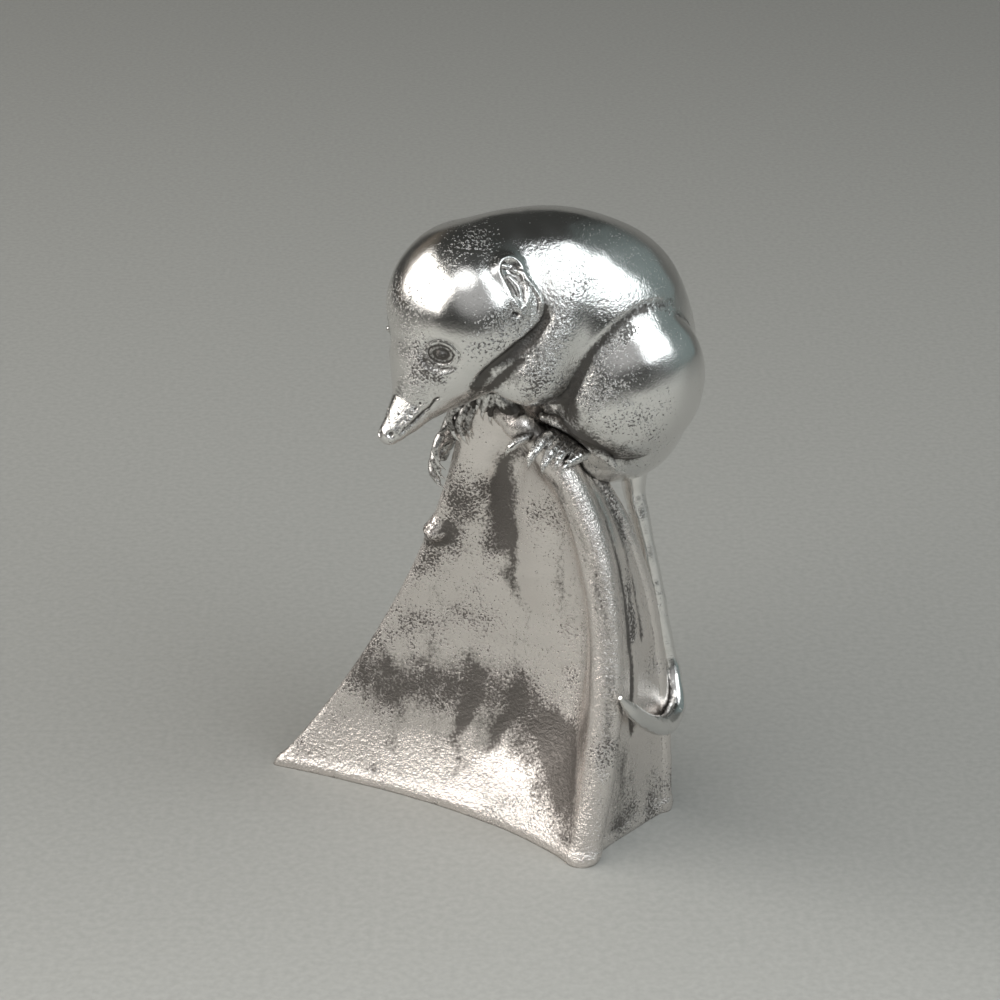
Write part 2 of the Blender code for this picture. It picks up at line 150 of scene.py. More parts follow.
# How the card's grey changes, as painted light and shade: from and to a place in metres, from and
# to a share of its grey
CARD_LEFT_SHADE = (-0.5, -0.26, 0.15, 1.0)
CARD_FRONT_SHADE = (-0.34, -0.18, 0.15, 1.0)
CARD_NEAR_LIGHT = (-0.12, 0.02, 1.45, 1.0)
CARD_FAR_SHADE = (0.1, 0.55, 1.0, 0.8)

# Steps of smooth lines and tables, and of the perch's rounded edges and the sides between
LINE_STEPS = 6
EASE_STEPS = 16
EDGE_STEPS = 12
SIDE_STEPS = 36
# Unevenness of the silver's skin: how many random heights there are and the numbers that
# pick one for a place, then height, size and seed of each ripple
RIPPLE_COUNT = 8191
RIPPLE_KEYS = (73856093, 19349663, 83492791)
PERCH_RIPPLES = ((0.10, 7.0, 5), (0.05, 2.5, 6))
SHREW_RIPPLES = ((0.08, 6.0, 1), (0.03, 2.0, 2))
PAW_RIPPLES = ((0.05, 0.9, 3), (0.03, 0.45, 4))
TAIL_RIPPLES = ((0.10, 2.2, 7), (0.04, 0.9, 8))

# The perch: its three ridges, each as foot, two handles and crown
FRONT, RIGHT = 1, 2
CROWN = np.array((3.0, -2.5, 68.5))
RIDGES = (
    ((-33.2, 13.0, 0.0), (-14.8, 11.6, 21.9), (-4.8, 2.4, 50.0), (-2.6, -1.3, 68.5)),
    ((16.0, -17.7, 0.0), (21.2, -15.6, 24.7), (21.8, -12.6, 57.5), (4.6, -6.7, 68.0)),
    ((29.0, -0.4, 0.0), (28.8, 2.6, 21.9), (27.2, 2.6, 50.7), (9.0, -0.5, 66.0)),
)
# The rounding of each ridge at foot and crown, and its limit as a share of the way inwards
EDGES = ((0.7, 2.0), (2.6, 2.6), (1.6, 2.2))
EDGE_LIMIT = 0.4
# The sides are drawn in towards a middle, moved this share of the way to the right side,
# or towards the back line; their pulls run from rim to crown
MIDDLE_SHIFT = 0.25
BACK_LINE = ((6.0, 16.0, 0.0), (5.0, 1.5, 67.5))
FRONT_HOLLOW = ((0.84, 0.06), (1.22, 0.84), (1.42, 1.04), (1.38, 0.98), (1.16, 0.76), (0.92, 0.55),
                (0.78, 0.44))
RIGHT_HOLLOW = ((0.0, 0.06),) * 4
BACK_SWELL = ((0.6, 0.6),) * 4
# The dome that closes the crown: its height, and its rings' angles and least width
CROWN_DOME = 1.6
DOME_ANGLES = range(15, 90, 15)
DOME_LEAST = 0.05
# The step that the floor plate sits in, as a share of the foot's width and a depth
LEDGE_WIDTH = 0.68
LEDGE_DEPTH = 1.9
# The share of its height up to which the perch stands straight on its rim
RIM_SHARE = 0.035

# The shrew: where its axes stand and which way they face
HEADING = 200.0
HEAD_TURN = 18.0
SHREW_LIFT = 1.0
HEAD_AT = (5.2, 1.0, 14.4)
# The box that its skin lies in, and the trunk's bare stretches: how near the skin lies to
# the trunk there and how often it is evened out
SHREW_BOX = ((-18, -21, 50), (36, 22, 101))
BARE_REACH = 0.08
BARE_ROUNDS = 14
# How far fillets reach where its forms are pressed together or carved
FILLETS = {
    "nape": 2.5, "knee": 2.5, "leg": 0.8, "arm": 1.6, "belly": 1.5, "neck": 1.2, "cheek": 3.0,
    "snout": 3.0, "socket": 0.5, "lids": 0.3, "eyeball": 0.08, "nostril": 0.25, "ear": 0.5,
    "ear hollow": 0.2, "ear fold": 0.12,
}

# Trunk: a fat roll from the neck to the rump, narrower than it is deep
TRUNK_STOPS = ((1.0, 0.0, 12.8), (-5.0, 0.0, 13.4), (-12.3, 0.0, 9.6), (-15.9, 0.0, 2.0),
               (-17.2, 0.0, -4.0))
TRUNK_RADII = (12.2, 14.2, 15.5, 13.6, 11.4)
TRUNK_NARROW = 1.2
# The far leg and arm lie this much closer to the body
FAR_FLATTER = 1.035
NAPE = ((1.0, 0.4, 14.6), (9.5, 8.5, 12.7))
BELLY_CUT = ((6.0, 0.0, -3.0), (11.0, 15.0, 9.4))
THIGH = ((-16.5, 8.3, 3.4), (10.9, 7.4, 11.6))
KNEE = ((-10.4, 8.6, 1.4), (4.6, 4.8, 5.0))
ARM_STOPS = ((-5.4, 6.4, 16.5), (-3.6, 7.6, 12.0), (-1.2, 8.2, 7.6), (1.2, 7.6, 6.0),
             (2.6, 6.4, 5.4))
ARM_RADII = (5.4, 5.6, 5.4, 4.0, 2.6)

# Head
SKULL = ((-0.3, 0.0, 0.7), (12.1, 11.8, 12.0))
CHEEK = ((3.2, 0.0, -5.2), (7.6, 7.2, 6.8))
SNOUT_STOPS = ((5.2, 0.0, -5.8), (9.4, 0.0, -11.0), (12.7, 0.0, -14.0), (14.3, 0.0, -15.1))
SNOUT_RADII = (6.6, 3.5, 2.1, 1.6)
NOSTRILS = (((15.1, 1.4, -14.6), 0.5), ((15.7, -0.2, -14.8), 0.45))

# Eye: where it is and the ways it faces and lies; radii are depth, length and height
EYE_AT = (10.1, 6.2, -2.6)
EYE_AHEAD = (0.80, 0.56, -0.21)
EYE_ALONG = (-0.56, 0.80, 0.0)
SOCKET = ((0.35, 0.0, 0.0), (1.3, 3.1, 2.5))
LIDS = ((-1.3, 0.0, 0.0), (0.9, 2.1, 1.5))
EYEBALL = ((-1.05, -0.2, 0.1), (0.95, 0.95, 0.95))
# Rings drawn round the eye, as half length, half height, width and height of the stroke
EYE_RINGS = ((1.15, 1.0, 0.5, -0.25), (2.05, 1.6, 0.4, 0.12), (2.75, 2.2, 0.7, -0.15))
# Their angles in radians, overlapping because a stroke fades at its ends, and how many
RING_SWEEP = (0.0, 8.0, 26)
# Beads along the lids: the same, then angles and how many
LID_BEADS = (1.65, 1.3, 0.3, 0.14)
LID_SWEEP = (2.6, 6.6, 14)

# Ear: a leaf with a hollow and two folds, as stops outward, down and back
EAR_AT = (-0.1, 9.5, 6.3)
EAR_OUT = (0.0, 0.87, 0.49)
EAR_DOWN = (-0.03, 0.49, -0.87)
EAR_LEAF = ((0.14, -2.1, 0.0), (0.1, 1.0, 0.2), (0.0, 3.4, 0.0))
EAR_RADII = (2.5, 2.1, 0.9)
EAR_FLAT = 2.1
EAR_HOLLOW = ((1.0, -2.0, 0.0), (0.95, 0.9, 0.15), (0.8, 3.0, 0.0))
EAR_HOLLOW_RADII = (1.8, 1.4, 0.4)
EAR_HOLLOW_FLAT = 1.6
EAR_FOLDS = (
    (((0.2, -3.1, -0.8), (0.3, -2.5, 0.3), (0.2, -1.8, 0.9)), (0.28, 0.32, 0.2)),
    (((0.2, -1.4, -0.4), (0.3, 0.4, 0.35), (0.1, 2.6, 0.2)), (0.3, 0.45, 0.25)),
)
FAR_EAR_SHIFT = (-2.8, 0.0, -1.6)

# Strokes drawn on the head, in its axes, as stops, width and height
MOUTH = (((13.9, 2.2, -14.8), (12.1, 3.3, -12.8), (10.4, 4.3, -11.2), (9.9, 4.8, -9.9),
          (9.0, 5.3, -9.3)), 0.45, -0.3)
LIP = (((14.2, 2.4, -14.2), (12.4, 3.6, -12.1), (10.9, 4.4, -10.6), (10.5, 5.0, -9.3)), 0.8, 0.22)
NAPE_EDGE = (((-0.6, 9.2, 8.6), (-1.9, 10.2, 7.0), (-2.9, 10.8, 5.4), (-3.4, 11.3, 4.0),
              (-3.1, 11.9, 2.4), (-2.4, 11.9, 1.2), (-1.0, 11.6, 0.2),
              (1.0, 11.6, -0.8)), 0.6, 0.3)
NAPE_CREASE = (((-3.4, 11.5, 3.4), (-3.6, 12.1, 1.7), (-2.4, 11.9, -0.1), (-0.2, 11.5, -1.5),
                (2.0, 11.0, -3.2), (3.5, 10.3, -4.6), (4.4, 9.2, -6.0),
                (5.1, 7.9, -7.9)), 1.5, -0.8)
EAR_NOTCH = (((1.1, 11.3, 3.1), (0.7, 11.4, 2.9)), 0.6, -0.6)
WHISKERS = ((12.0, 3.9, -10.4), (10.4, 4.5, -10.6), (10.7, 4.2, -11.4), (11.0, 4.0, -11.7),
            (12.4, 3.6, -11.0), (11.6, 3.5, -12.7), (13.5, 2.6, -13.9), (12.8, 3.3, -11.8),
            (14.5, 1.8, -11.5), (13.4, 3.0, -12.6))
WHISKER_SIZE = (0.26, -0.26)

# Strokes drawn on the body, in its axes
THIGH_CREASE = (((-6.6, 11.0, 2.4), (-7.2, 11.0, 7.2), (-10.0, 11.0, 11.4), (-15.8, 11.0, 15.0),
                 (-21.4, 9.0, 14.6)), 1.5, -0.22)
THIGH_FOLD = (((-11.4, 11.0, 10.6), (-16.2, 11.0, 13.8), (-20.6, 9.0, 13.6)), 2.0, 0.12)

# Where the shrew is drawn finest, in the head's axes, as middle and reach
FINE_SPOTS = ((EYE_AT, 4.2), (EAR_AT, 6.0), ((12.5, 2.5, -12.5), 5.5))

# Feet and paws: the sole or palm and then the toes, as stops and radii, in the perch's axes
NEAR_HIND_TOE = (1.02, 0.96, 0.77, 0.58)
NEAR_FORE_TOE = (0.8, 0.65, 0.5)
FAR_FORE_TOE = (0.7, 0.65, 0.6, 0.45)
FAR_HIND_TOE = (0.8, 0.7, 0.6, 0.45)
PAWS = {
    "left_hind_foot": (
        (((9.0, -6.6, 68.1), (11.1, -7.4, 68.2), (13.2, -8.2, 67.7), (15.0, -8.8, 66.3),
          (16.8, -8.8, 64.0), (18.9, -8.2, 61.2)), (0.9, 1.4, 1.7, 1.5, 1.2, 0.5)),
        (((10.9, -4.3, 64.8), (7.9, -6.9, 66.1), (5.7, -9.1, 65.8),
          (4.1, -9.6, 64.7)), NEAR_HIND_TOE),
        (((11.8, -4.8, 64.7), (9.5, -7.8, 65.6), (7.8, -10.5, 65.0),
          (6.9, -11.6, 63.8)), NEAR_HIND_TOE),
        (((12.6, -5.2, 64.5), (10.9, -8.1, 64.8), (9.6, -10.7, 64.1),
          (8.8, -12.0, 63.1)), NEAR_HIND_TOE),
        (((13.4, -5.4, 64.2), (11.8, -8.5, 64.1), (10.8, -10.6, 63.4)), (1.02, 0.90, 0.64)),
        (((14.5, -5.0, 63.2), (14.0, -7.1, 62.7), (12.4, -9.4, 62.3)), (1.28, 1.34, 0.64)),
    ),
    "left_forepaw": (
        (((3.4, -4.6, 75.4), (2.6, -5.8, 72.8), (3.8, -6.6, 69.8),
          (6.2, -7.4, 67.0)), (1.6, 1.8, 1.5, 0.9)),
        (((1.2, -5.4, 72.8), (0.2, -5.8, 71.6), (-0.4, -5.2, 69.7)), NEAR_FORE_TOE),
        (((1.8, -5.8, 72.6), (0.9, -6.2, 71.0), (0.3, -5.4, 68.8)), NEAR_FORE_TOE),
        (((2.3, -6.0, 72.2), (1.7, -6.4, 70.3), (1.3, -5.4, 68.1)), NEAR_FORE_TOE),
    ),
    "right_forepaw": (
        (((0.4, -3.4, 71.2), (-1.3, -3.8, 69.6)), (1.5, 1.3)),
        (((-2.3, -3.8, 69.3), (-3.7, -4.0, 68.4), (-4.6, -3.6, 66.7),
          (-4.2, -3.2, 64.6)), FAR_FORE_TOE),
        (((-1.7, -4.2, 69.2), (-2.7, -4.4, 67.6), (-3.3, -3.8, 65.8),
          (-2.7, -3.2, 63.9)), FAR_FORE_TOE),
        (((-0.8, -4.4, 69.3), (-1.7, -4.6, 67.4), (-2.0, -3.8, 65.2)), (0.7, 0.65, 0.5)),
    ),
    "right_hind_foot": (
        (((-1.0, 5.0, 66.0), (-3.6, 3.4, 63.8), (-5.2, 2.8, 60.5),
          (-5.8, 3.2, 57.8)), (1.2, 1.6, 1.4, 0.9)),
        (((-4.7, 0.9, 63.0), (-6.0, -0.6, 62.4), (-6.7, -1.2, 60.9),
          (-6.4, -1.4, 59.1)), FAR_HIND_TOE),
        (((-5.3, 1.8, 61.2), (-6.6, 0.4, 60.3), (-7.0, -0.6, 58.7),
          (-6.4, -0.9, 57.3)), FAR_HIND_TOE),
        (((-5.8, 2.4, 59.0), (-7.1, 1.4, 57.8), (-7.2, 0.4, 56.3),
          (-6.5, -0.3, 55.2)), FAR_HIND_TOE),
    ),
}
CLAWS = {
    "left_hind_foot": (
        ((4.5, -9.4, 65.0), (3.7, -9.6, 64.1), (3.4, -8.8, 63.0)),
        ((7.2, -11.4, 64.1), (6.7, -11.8, 63.1), (6.7, -11.3, 62.1)),
        ((9.1, -11.8, 63.4), (8.6, -12.3, 62.5), (8.6, -11.9, 61.5)),
        ((11.0, -10.2, 63.6), (10.5, -11.3, 62.8), (10.4, -11.2, 61.9)),
        ((12.7, -9.0, 62.4), (11.7, -10.4, 62.0), (11.3, -10.8, 61.2)),
    ),
    "left_forepaw": (
        ((-0.3, -5.4, 70.1), (-0.7, -5.0, 68.8), (-0.7, -4.3, 67.5)),
        ((0.4, -5.6, 69.3), (0.1, -5.1, 67.8), (0.2, -4.4, 66.6)),
        ((1.4, -5.6, 68.6), (1.2, -5.1, 67.1), (1.5, -4.4, 65.8)),
    ),
    "right_forepaw": (
        ((-4.4, -3.3, 65.2), (-3.9, -3.3, 63.8), (-3.0, -2.9, 62.5)),
        ((-2.9, -3.4, 64.5), (-2.5, -3.3, 63.2), (-1.9, -2.9, 62.1)),
        ((-2.1, -4.0, 65.9), (-1.8, -3.6, 64.4), (-1.3, -3.1, 63.2)),
    ),
    "right_hind_foot": (
        ((-6.6, -1.4, 59.7), (-6.3, -1.6, 58.5), (-5.3, -1.3, 57.4)),
        ((-6.6, -0.8, 57.9), (-6.2, -1.1, 56.6), (-5.3, -1.0, 55.8)),
        ((-6.8, 0.0, 55.8), (-6.3, -0.5, 54.8), (-5.3, -0.5, 53.8)),
    ),
}
CLAW_RADII = (0.42, 0.3, 0.06)
CLAW_SIDES = 12
CLAW_STEP = 0.15
# The fillets between toes, and the room left round a foot for its skin
TOE_SPREAD = 0.25
PAW_ROOM = 0.6
# How much darker each foot is made
PAW_DARK = {"left_hind_foot": 0.1, "left_forepaw": 0.42, "right_forepaw": 0.55,
            "right_hind_foot": 0.5}

# Tail: the ridge it lies along, how far up that ridge, and its way from the ridge's tip
TAIL_STOPS = (
    (RIGHT, 0.82, (5.2, 6.3, 1.2)), (RIGHT, 0.72, (1.9, 5.2, 0.0)), (RIGHT, 0.61, (0.7, 3.9, 0.0)),
    (RIGHT, 0.50, (0.2, 3.2, 0.0)), (RIGHT, 0.38, (0.1, 2.7, 0.0)), (RIGHT, 0.30, (0.8, 1.9, 0.0)),
    (RIGHT, 0.24, (0.8, -1.4, 0.3)), (RIGHT, 0.24, (-1.0, -6.2, 0.3)),
    (FRONT, 0.26, (5.7, 6.0, -0.2)), (FRONT, 0.31, (2.9, 1.2, 0.2)),
    (FRONT, 0.36, (0.8, -1.8, -0.2)),
)
TAIL_RADII = (2.8, 1.7, 1.3, 1.3, 1.4, 1.5, 1.5, 1.5, 1.4, 1.1, 0.3)
TAIL_SIDES = 40
TAIL_STEP = 0.35

# Strokes drawn on the perch
PERCH_STROKES = (
    # left boundary of the front ridge
    (((9.0, -8.8, 60.8), (13.3, -11.3, 52.6), (17.0, -13.5, 42.4), (18.6, -15.1, 28.6),
      (17.6, -15.6, 14.0)), 1.4, -0.3),
    # nodule on the left ridge
    (((-7.0, 1.4, 48.2), (-7.4, 1.8, 45.8), (-7.2, 2.2, 43.6)), 2.3, 1.9),
    # worn crest below the crown
    (((0.6, -3.6, 69.8), (2.6, -4.8, 69.6), (4.6, -6.2, 68.2), (6.4, -7.4, 66.4),
      (9.0, -8.8, 63.4)), 3.4, 1.6),
    (((2.6, -4.8, 69.6), (3.4, -5.4, 68.8)), 1.6, 0.6),
    (((4.8, -6.4, 67.4), (5.8, -7.2, 66.2)), 1.8, 0.6),
    # brushed fold low on the front
    (((3.6, -1.0, 24.0), (0.4, -1.0, 17.0), (-4.0, 0.0, 8.0)), 3.2, 0.35),
    # valley below the crown, between two swellings
    (((6.4, -5.6, 66.0), (4.4, -3.6, 61.0), (3.0, -1.8, 54.7), (2.2, -0.1, 42.0)), 3.6, -0.7),
    (((10.0, -7.0, 63.0), (8.4, -4.5, 56.0), (7.8, -3.0, 46.0), (7.6, -1.0, 34.0)), 4.2, 0.8),
    (((1.0, -2.0, 64.0), (-1.4, -1.0, 57.0), (-3.0, 0.6, 48.0)), 4.0, 0.7),
    # hollows between the right face's long streaks
    (((14.0, -4.0, 60.0), (21.5, -7.0, 48.0), (24.5, -9.0, 30.0), (24.0, -9.5, 16.0)), 1.6, -0.35),
    (((15.5, -1.5, 58.0), (23.5, -3.5, 46.0), (26.5, -5.0, 30.0)), 1.2, -0.2),
)
# The rolled rim: how far it stands out and how high it is
RIM_LIFT = 0.35
RIM_HEIGHT = 1.1


def axes_at(place, turn):
    """Axes at a place, turned about the one that points up."""
    turned = Matrix.Rotation(math.radians(turn), 4, "Z")
    return np.array(Matrix.Translation(Vector(place)) @ turned)


BODY = axes_at(CROWN + np.array((0.0, 0.0, SHREW_LIFT)), HEADING)
HEAD = BODY @ axes_at(HEAD_AT, HEAD_TURN)
# Where the silver is hammered, pitted or dark, as stops, width and strength; the dark strokes are
# painted shade, and on the perch also a painted dark reflection
PERCH_FLARE = ((-28.9, 11.5, 4.9), (-22.5, 8.9, 4.6), (-16.1, 6.3, 4.3), (-8.2, 3.0, 4.8),
               (-2.0, -0.2, 4.6), (4.1, -4.5, 3.6), (10.1, -10.7, 3.9), (13.7, -17.5, 3.7))
PERCH_BAND = ((-19.0, 8.7, 20.0), (-12.8, 6.5, 18.0), (-5.0, 3.7, 19.0), (1.1, 1.4, 19.5),
              (5.4, 0.0, 17.0), (9.6, -2.9, 14.0), (13.4, -7.7, 10.0))
PERCH_BEAD = ((11.8, -9.4, 61.1), (16.5, -11.7, 51.1), (17.9, -13.5, 39.2), (18.0, -15.3, 27.1),
              (16.9, -16.8, 14.4), (14.8, -18.0, 2.3))
PERCH_STREAK = ((2.6, -1.6, 54.7), (2.9, -1.3, 51.8), (2.6, -0.7, 48.3), (2.2, -0.1, 44.7))
PERCH_WEAR_AND_PAINTED_SHADE = {
    "hammered": (
        (PERCH_FLARE, 9.0, 1.0), (PERCH_BAND, 8.0, 0.7), (PERCH_BEAD, 3.6, 0.8),
        (((20.9, -9.8, 12.0), (20.4, -10.0, 3.0)), 6.0, 0.7),
    ),
    "pitted": (
        (((-1.8, -0.2, 56.0), (-5.5, 1.4, 48.1), (-7.9, 3.3, 40.6), (-12.6, 5.7, 32.6),
          (-15.0, 7.1, 25.0)), 7.0, 0.6),
        (((1.0, 0.0, 50.0), (-0.4, 1.1, 41.7), (-4.2, 3.4, 27.0)), 8.0, 0.35),
        (((13.0, -6.0, 34.0), (12.0, -7.0, 18.0)), 5.0, 0.5),
        (PERCH_BAND, 8.0, 1.0),
        (PERCH_STREAK, 3.4, 0.9),
        (((20.3, -14.4, 20.0), (20.9, -9.8, 10.3), (20.4, -10.0, 2.0)), 5.0, 0.6),
        (((26.0, -4.0, 12.0), (26.0, -4.0, 2.0)), 3.0, 0.4),
        (((19.0, -1.2, 54.6), (20.5, -2.4, 46.7), (21.4, -4.9, 41.3),
          (21.7, -6.5, 33.5)), 2.2, 0.8),
    ),
    # Painted shade along the valleys, grooves and hollows, and a painted dark reflection across
    # the low band on the front
    "darkened": (
        (PERCH_STREAK, 3.4, 0.4), (PERCH_BAND, 8.5, 0.72),
        (((10.0, -6.0, 16.0), (13.0, -10.0, 10.0), (14.6, -14.0, 3.0)), 5.0, 0.6),
        (((-1.0, 0.0, 14.0), (-4.0, 0.5, 8.0)), 4.0, 0.35),
        (((-8.0, 1.0, 58.0), (-6.0, -1.0, 62.0)), 3.0, 0.4),
        (((17.8, -7.0, 56.0), (21.0, -8.0, 46.0), (22.6, -9.0, 32.0)), 2.4, 0.4),
        (PERCH_STROKES[0][0], 1.5, 0.4), (((20.6, -11.0, 14.0), (20.4, -10.0, 3.0)), 3.6, 0.45),
        (((8.4, -5.0, 63.0), (4.0, -3.0, 60.0), (2.6, -1.6, 54.7)), 2.4, 0.5),
    ),
}
SHREW_WEAR_AND_PAINTED_SHADE = {
    "hammered": (
        (BODY, ((-3.0, 8.5, 23.0), (-8.8, 11.0, 19.1), (-13.2, 11.3, 17.1), (-18.0, 10.6, 16.2)),
         5.0, 0.6),
        (BODY, ((-1.7, 12.4, 17.6), (-0.6, 13.4, 9.2)), 6.5, 1.0),
        (BODY, ((-7.5, 13.0, 9.0), (-7.0, 13.0, 2.0)), 3.5, 0.8),
        (HEAD, ((10.0, 3.5, -7.0), (13.6, 2.0, -13.0)), 4.5, 0.9),
    ),
    "pitted": (
        (BODY, ((-7.3, 13.9, 5.2), (-9.2, 14.2, 2.3), (-12.2, 14.6, -1.0), (-15.9, 13.3, -5.2)),
         7.0, 0.8),
        (BODY, ((-1.7, 12.4, 14.6), (-0.6, 13.4, 7.2)), 6.0, 0.9),
        (BODY, ((-7.0, 13.0, 8.0), (-14.0, 13.0, 14.0)), 2.5, 0.8),
        (HEAD, ((11.4, 3.5, -3.7), (9.6, 5.6, -4.9), (7.1, 9.2, -1.4), (4.8, 10.6, -0.8),
                (1.5, 11.8, 1.0)), 5.0, 0.75),
        (HEAD, ((4.0, -2.0, 12.0), (0.0, 3.0, 12.5)), 6.0, 0.3),
        (HEAD, ((9.5, 3.0, -6.0), (13.6, 1.0, -12.0)), 4.0, 0.75),
    ),
    # Painted shade in the eye socket, along the nape, shoulder and thigh creases, and under the
    # arm, the jaw and the rump
    "darkened": (
        (HEAD, (EYE_AT, EYE_AT), 3.0, 0.8),
        (HEAD, NAPE_CREASE[0], 1.8, 0.55),
        (BODY, ((0.7, 12.1, 12.6), (2.5, 11.7, 10.2), (3.7, 11.0, 8.2)), 3.4, 0.6),
        (BODY, THIGH_CREASE[0], 1.6, 0.45),
        (BODY, ((-2.0, 12.5, 3.0), (-6.0, 11.5, 1.4)), 2.4, 0.9),
        (BODY, ((-7.0, 11.0, -2.0), (-11.0, 12.0, -6.0), (-16.0, 11.0, -9.0)), 5.0, 0.8),
        (HEAD, ((8.0, 2.0, -13.0), (5.0, 5.0, -11.0), (4.0, 8.0, -8.0)), 3.0, 0.6),
    ),
}


def into(axes, points):
    """World points as seen in some axes."""
    return (points - axes[:3, 3]) @ axes[:3, :3]


def out_of(axes, points):
    """Points in some axes as world points."""
    return np.asarray(points, float) @ axes[:3, :3].T + axes[:3, 3]


# Clay: a form is a function that gives each point's distance outside its skin


def lump(points, place, radii):
    """Distance to an ellipsoid, nearly."""
    q = points - np.asarray(place)
    radii = np.asarray(radii, float)
    near = np.linalg.norm(q / radii, axis=1)
    slope = np.linalg.norm(q / radii ** 2, axis=1)
    return near * (near - 1.0) / np.maximum(slope, 1e-9)


def roll(points, stops, radii):
    """Distance to a tapered roll along a line of stops."""
    best = np.full(len(points), np.inf)
    stops = np.asarray(stops, float)
    for start, end, first, last in zip(stops, stops[1:], radii, radii[1:]):
        run = end - start
        t = np.clip((points - start) @ run / (run @ run), 0.0, 1.0)
        gap = np.linalg.norm(points - start - t[:, None] * run, axis=1)
        best = np.minimum(best, gap - (first + (last - first) * t))
    return best


def press(first, second, reach):
    """Two forms pressed into one, with a smooth fillet of the given reach."""
    near = np.clip(1.0 - np.abs(first - second) / (1.5 * reach), 0.0, 1.0)
    return np.minimum(first, second) - 0.25 * reach * near ** 3


def carve(first, second, reach):
    """The first form with the second scooped out of it."""
    return -press(-first, second, reach)


def smooth_line(stops, steps):
    """Points along a smooth curve through the stops, ends included."""
    given = np.asarray(stops, float)
    given = np.vstack((2 * given[0] - given[1], given, 2 * given[-1] - given[-2]))
    line = []
    for before, start, end, after in zip(given, given[1:], given[2:], given[3:]):
        for t in np.arange(steps) / steps:
            line.append(0.5 * (2 * start + (end - before) * t
                               + (2 * before - 5 * start + 4 * end - after) * t ** 2
                               + (3 * (start - end) + after - before) * t ** 3))
    return np.array(line + [given[-2]])


def smooth_roll(points, stops, radii, steps=4):
    """A roll along a smooth line, its radii eased between the stops."""
    line = smooth_line(stops, steps)
    places = np.linspace(0.0, len(radii) - 1.0, len(line))
    return roll(points, line, np.interp(places, range(len(radii)), radii))


def turned_axes(first, second):
    """Columns that point the first way, nearly the second and across both."""
    first = np.asarray(first, float) / np.linalg.norm(first)
    third = np.cross(first, second)
    third /= np.linalg.norm(third)
    return np.stack((first, np.cross(third, first), third), 1)


def tilted(points, place, first, second):
    """Points seen from a place, by axes that point the first way and nearly the second."""
    return (points - place) @ turned_axes(first, second)


def oval(place, first, second, length, height, angles):
    """Places round an oval that faces the first way and lies along the second."""
    flat = np.stack((0 * angles, length * np.cos(angles), height * np.sin(angles)), 1)
    return place + flat @ turned_axes(first, second).T


def trunk_clay(points):
    """The trunk alone."""
    q = into(BODY, points) * (1.0, TRUNK_NARROW, 1.0)
    return smooth_roll(q, TRUNK_STOPS, TRUNK_RADII, steps=10) / TRUNK_NARROW ** 0.5


def body_clay(points):
    """The trunk with its thighs, knees and arms."""
    q = into(BODY, points)
    form = press(trunk_clay(points), lump(q, *NAPE), FILLETS["nape"])
    for side in (1.0, -FAR_FLATTER):
        flip = q * (1.0, side, 1.0)
        leg = press(lump(flip, *THIGH), lump(flip, *KNEE), FILLETS["knee"])
        form = press(form, leg, FILLETS["leg"])
        form = press(form, smooth_roll(flip, ARM_STOPS, ARM_RADII, steps=8), FILLETS["arm"])
    return carve(form, lump(q, *BELLY_CUT), FILLETS["belly"])


def head_clay(points):
    """Skull, cheeks, snout, ears and eyes."""
    q = into(HEAD, points)
    form = press(lump(q, *SKULL), lump(q, *CHEEK), FILLETS["cheek"])
    form = press(form, smooth_roll(q, SNOUT_STOPS, SNOUT_RADII, steps=10), FILLETS["snout"])
    for side, shift in ((1.0, (0, 0, 0)), (-1.0, FAR_EAR_SHIFT)):
        flip = q * (1.0, side, 1.0)
        form = press_ear(form, tilted(flip, np.add(EAR_AT, shift), EAR_OUT, EAR_DOWN))
        eye = tilted(flip, EYE_AT, EYE_AHEAD, EYE_ALONG)
        form = carve(form, lump(eye, *SOCKET), FILLETS["socket"])
        form = press(form, lump(eye, *LIDS), FILLETS["lids"])
        form = press(form, lump(eye, *EYEBALL), FILLETS["eyeball"])
    for place, radius in NOSTRILS:
        form = carve(form, np.linalg.norm(q - place, axis=1) - radius, FILLETS["nostril"])
    return form


def press_ear(form, q):
    """The form with an ear pressed on and hollowed."""
    leaf = smooth_roll(q * (EAR_FLAT, 1.0, 1.0), EAR_LEAF, EAR_RADII) / EAR_FLAT
    form = press(form, leaf, FILLETS["ear"])
    start = (EAR_HOLLOW[0][0], 0, 0)
    hollow = smooth_roll((q - start) * (EAR_HOLLOW_FLAT, 1.0, 1.0),
                         np.subtract(EAR_HOLLOW, start), EAR_HOLLOW_RADII)
    form = carve(form, hollow / EAR_HOLLOW_FLAT, FILLETS["ear hollow"])
    for stops, radii in EAR_FOLDS:
        form = press(form, smooth_roll(q, stops, radii), FILLETS["ear fold"])
    return form


def shrew_clay(points):
    """Head and body pressed together."""
    return press(head_clay(points), body_clay(points), FILLETS["neck"])


def rolls_clay(rolls, reach):
    """A form made of rolls, each given as stops and radii."""
    def form(points):
        total = smooth_roll(points, *rolls[0])
        for stops, radii in rolls[1:]:
            total = press(total, smooth_roll(points, stops, radii), reach)
        return total
    return form


# Skins: meshes drawn over the clay


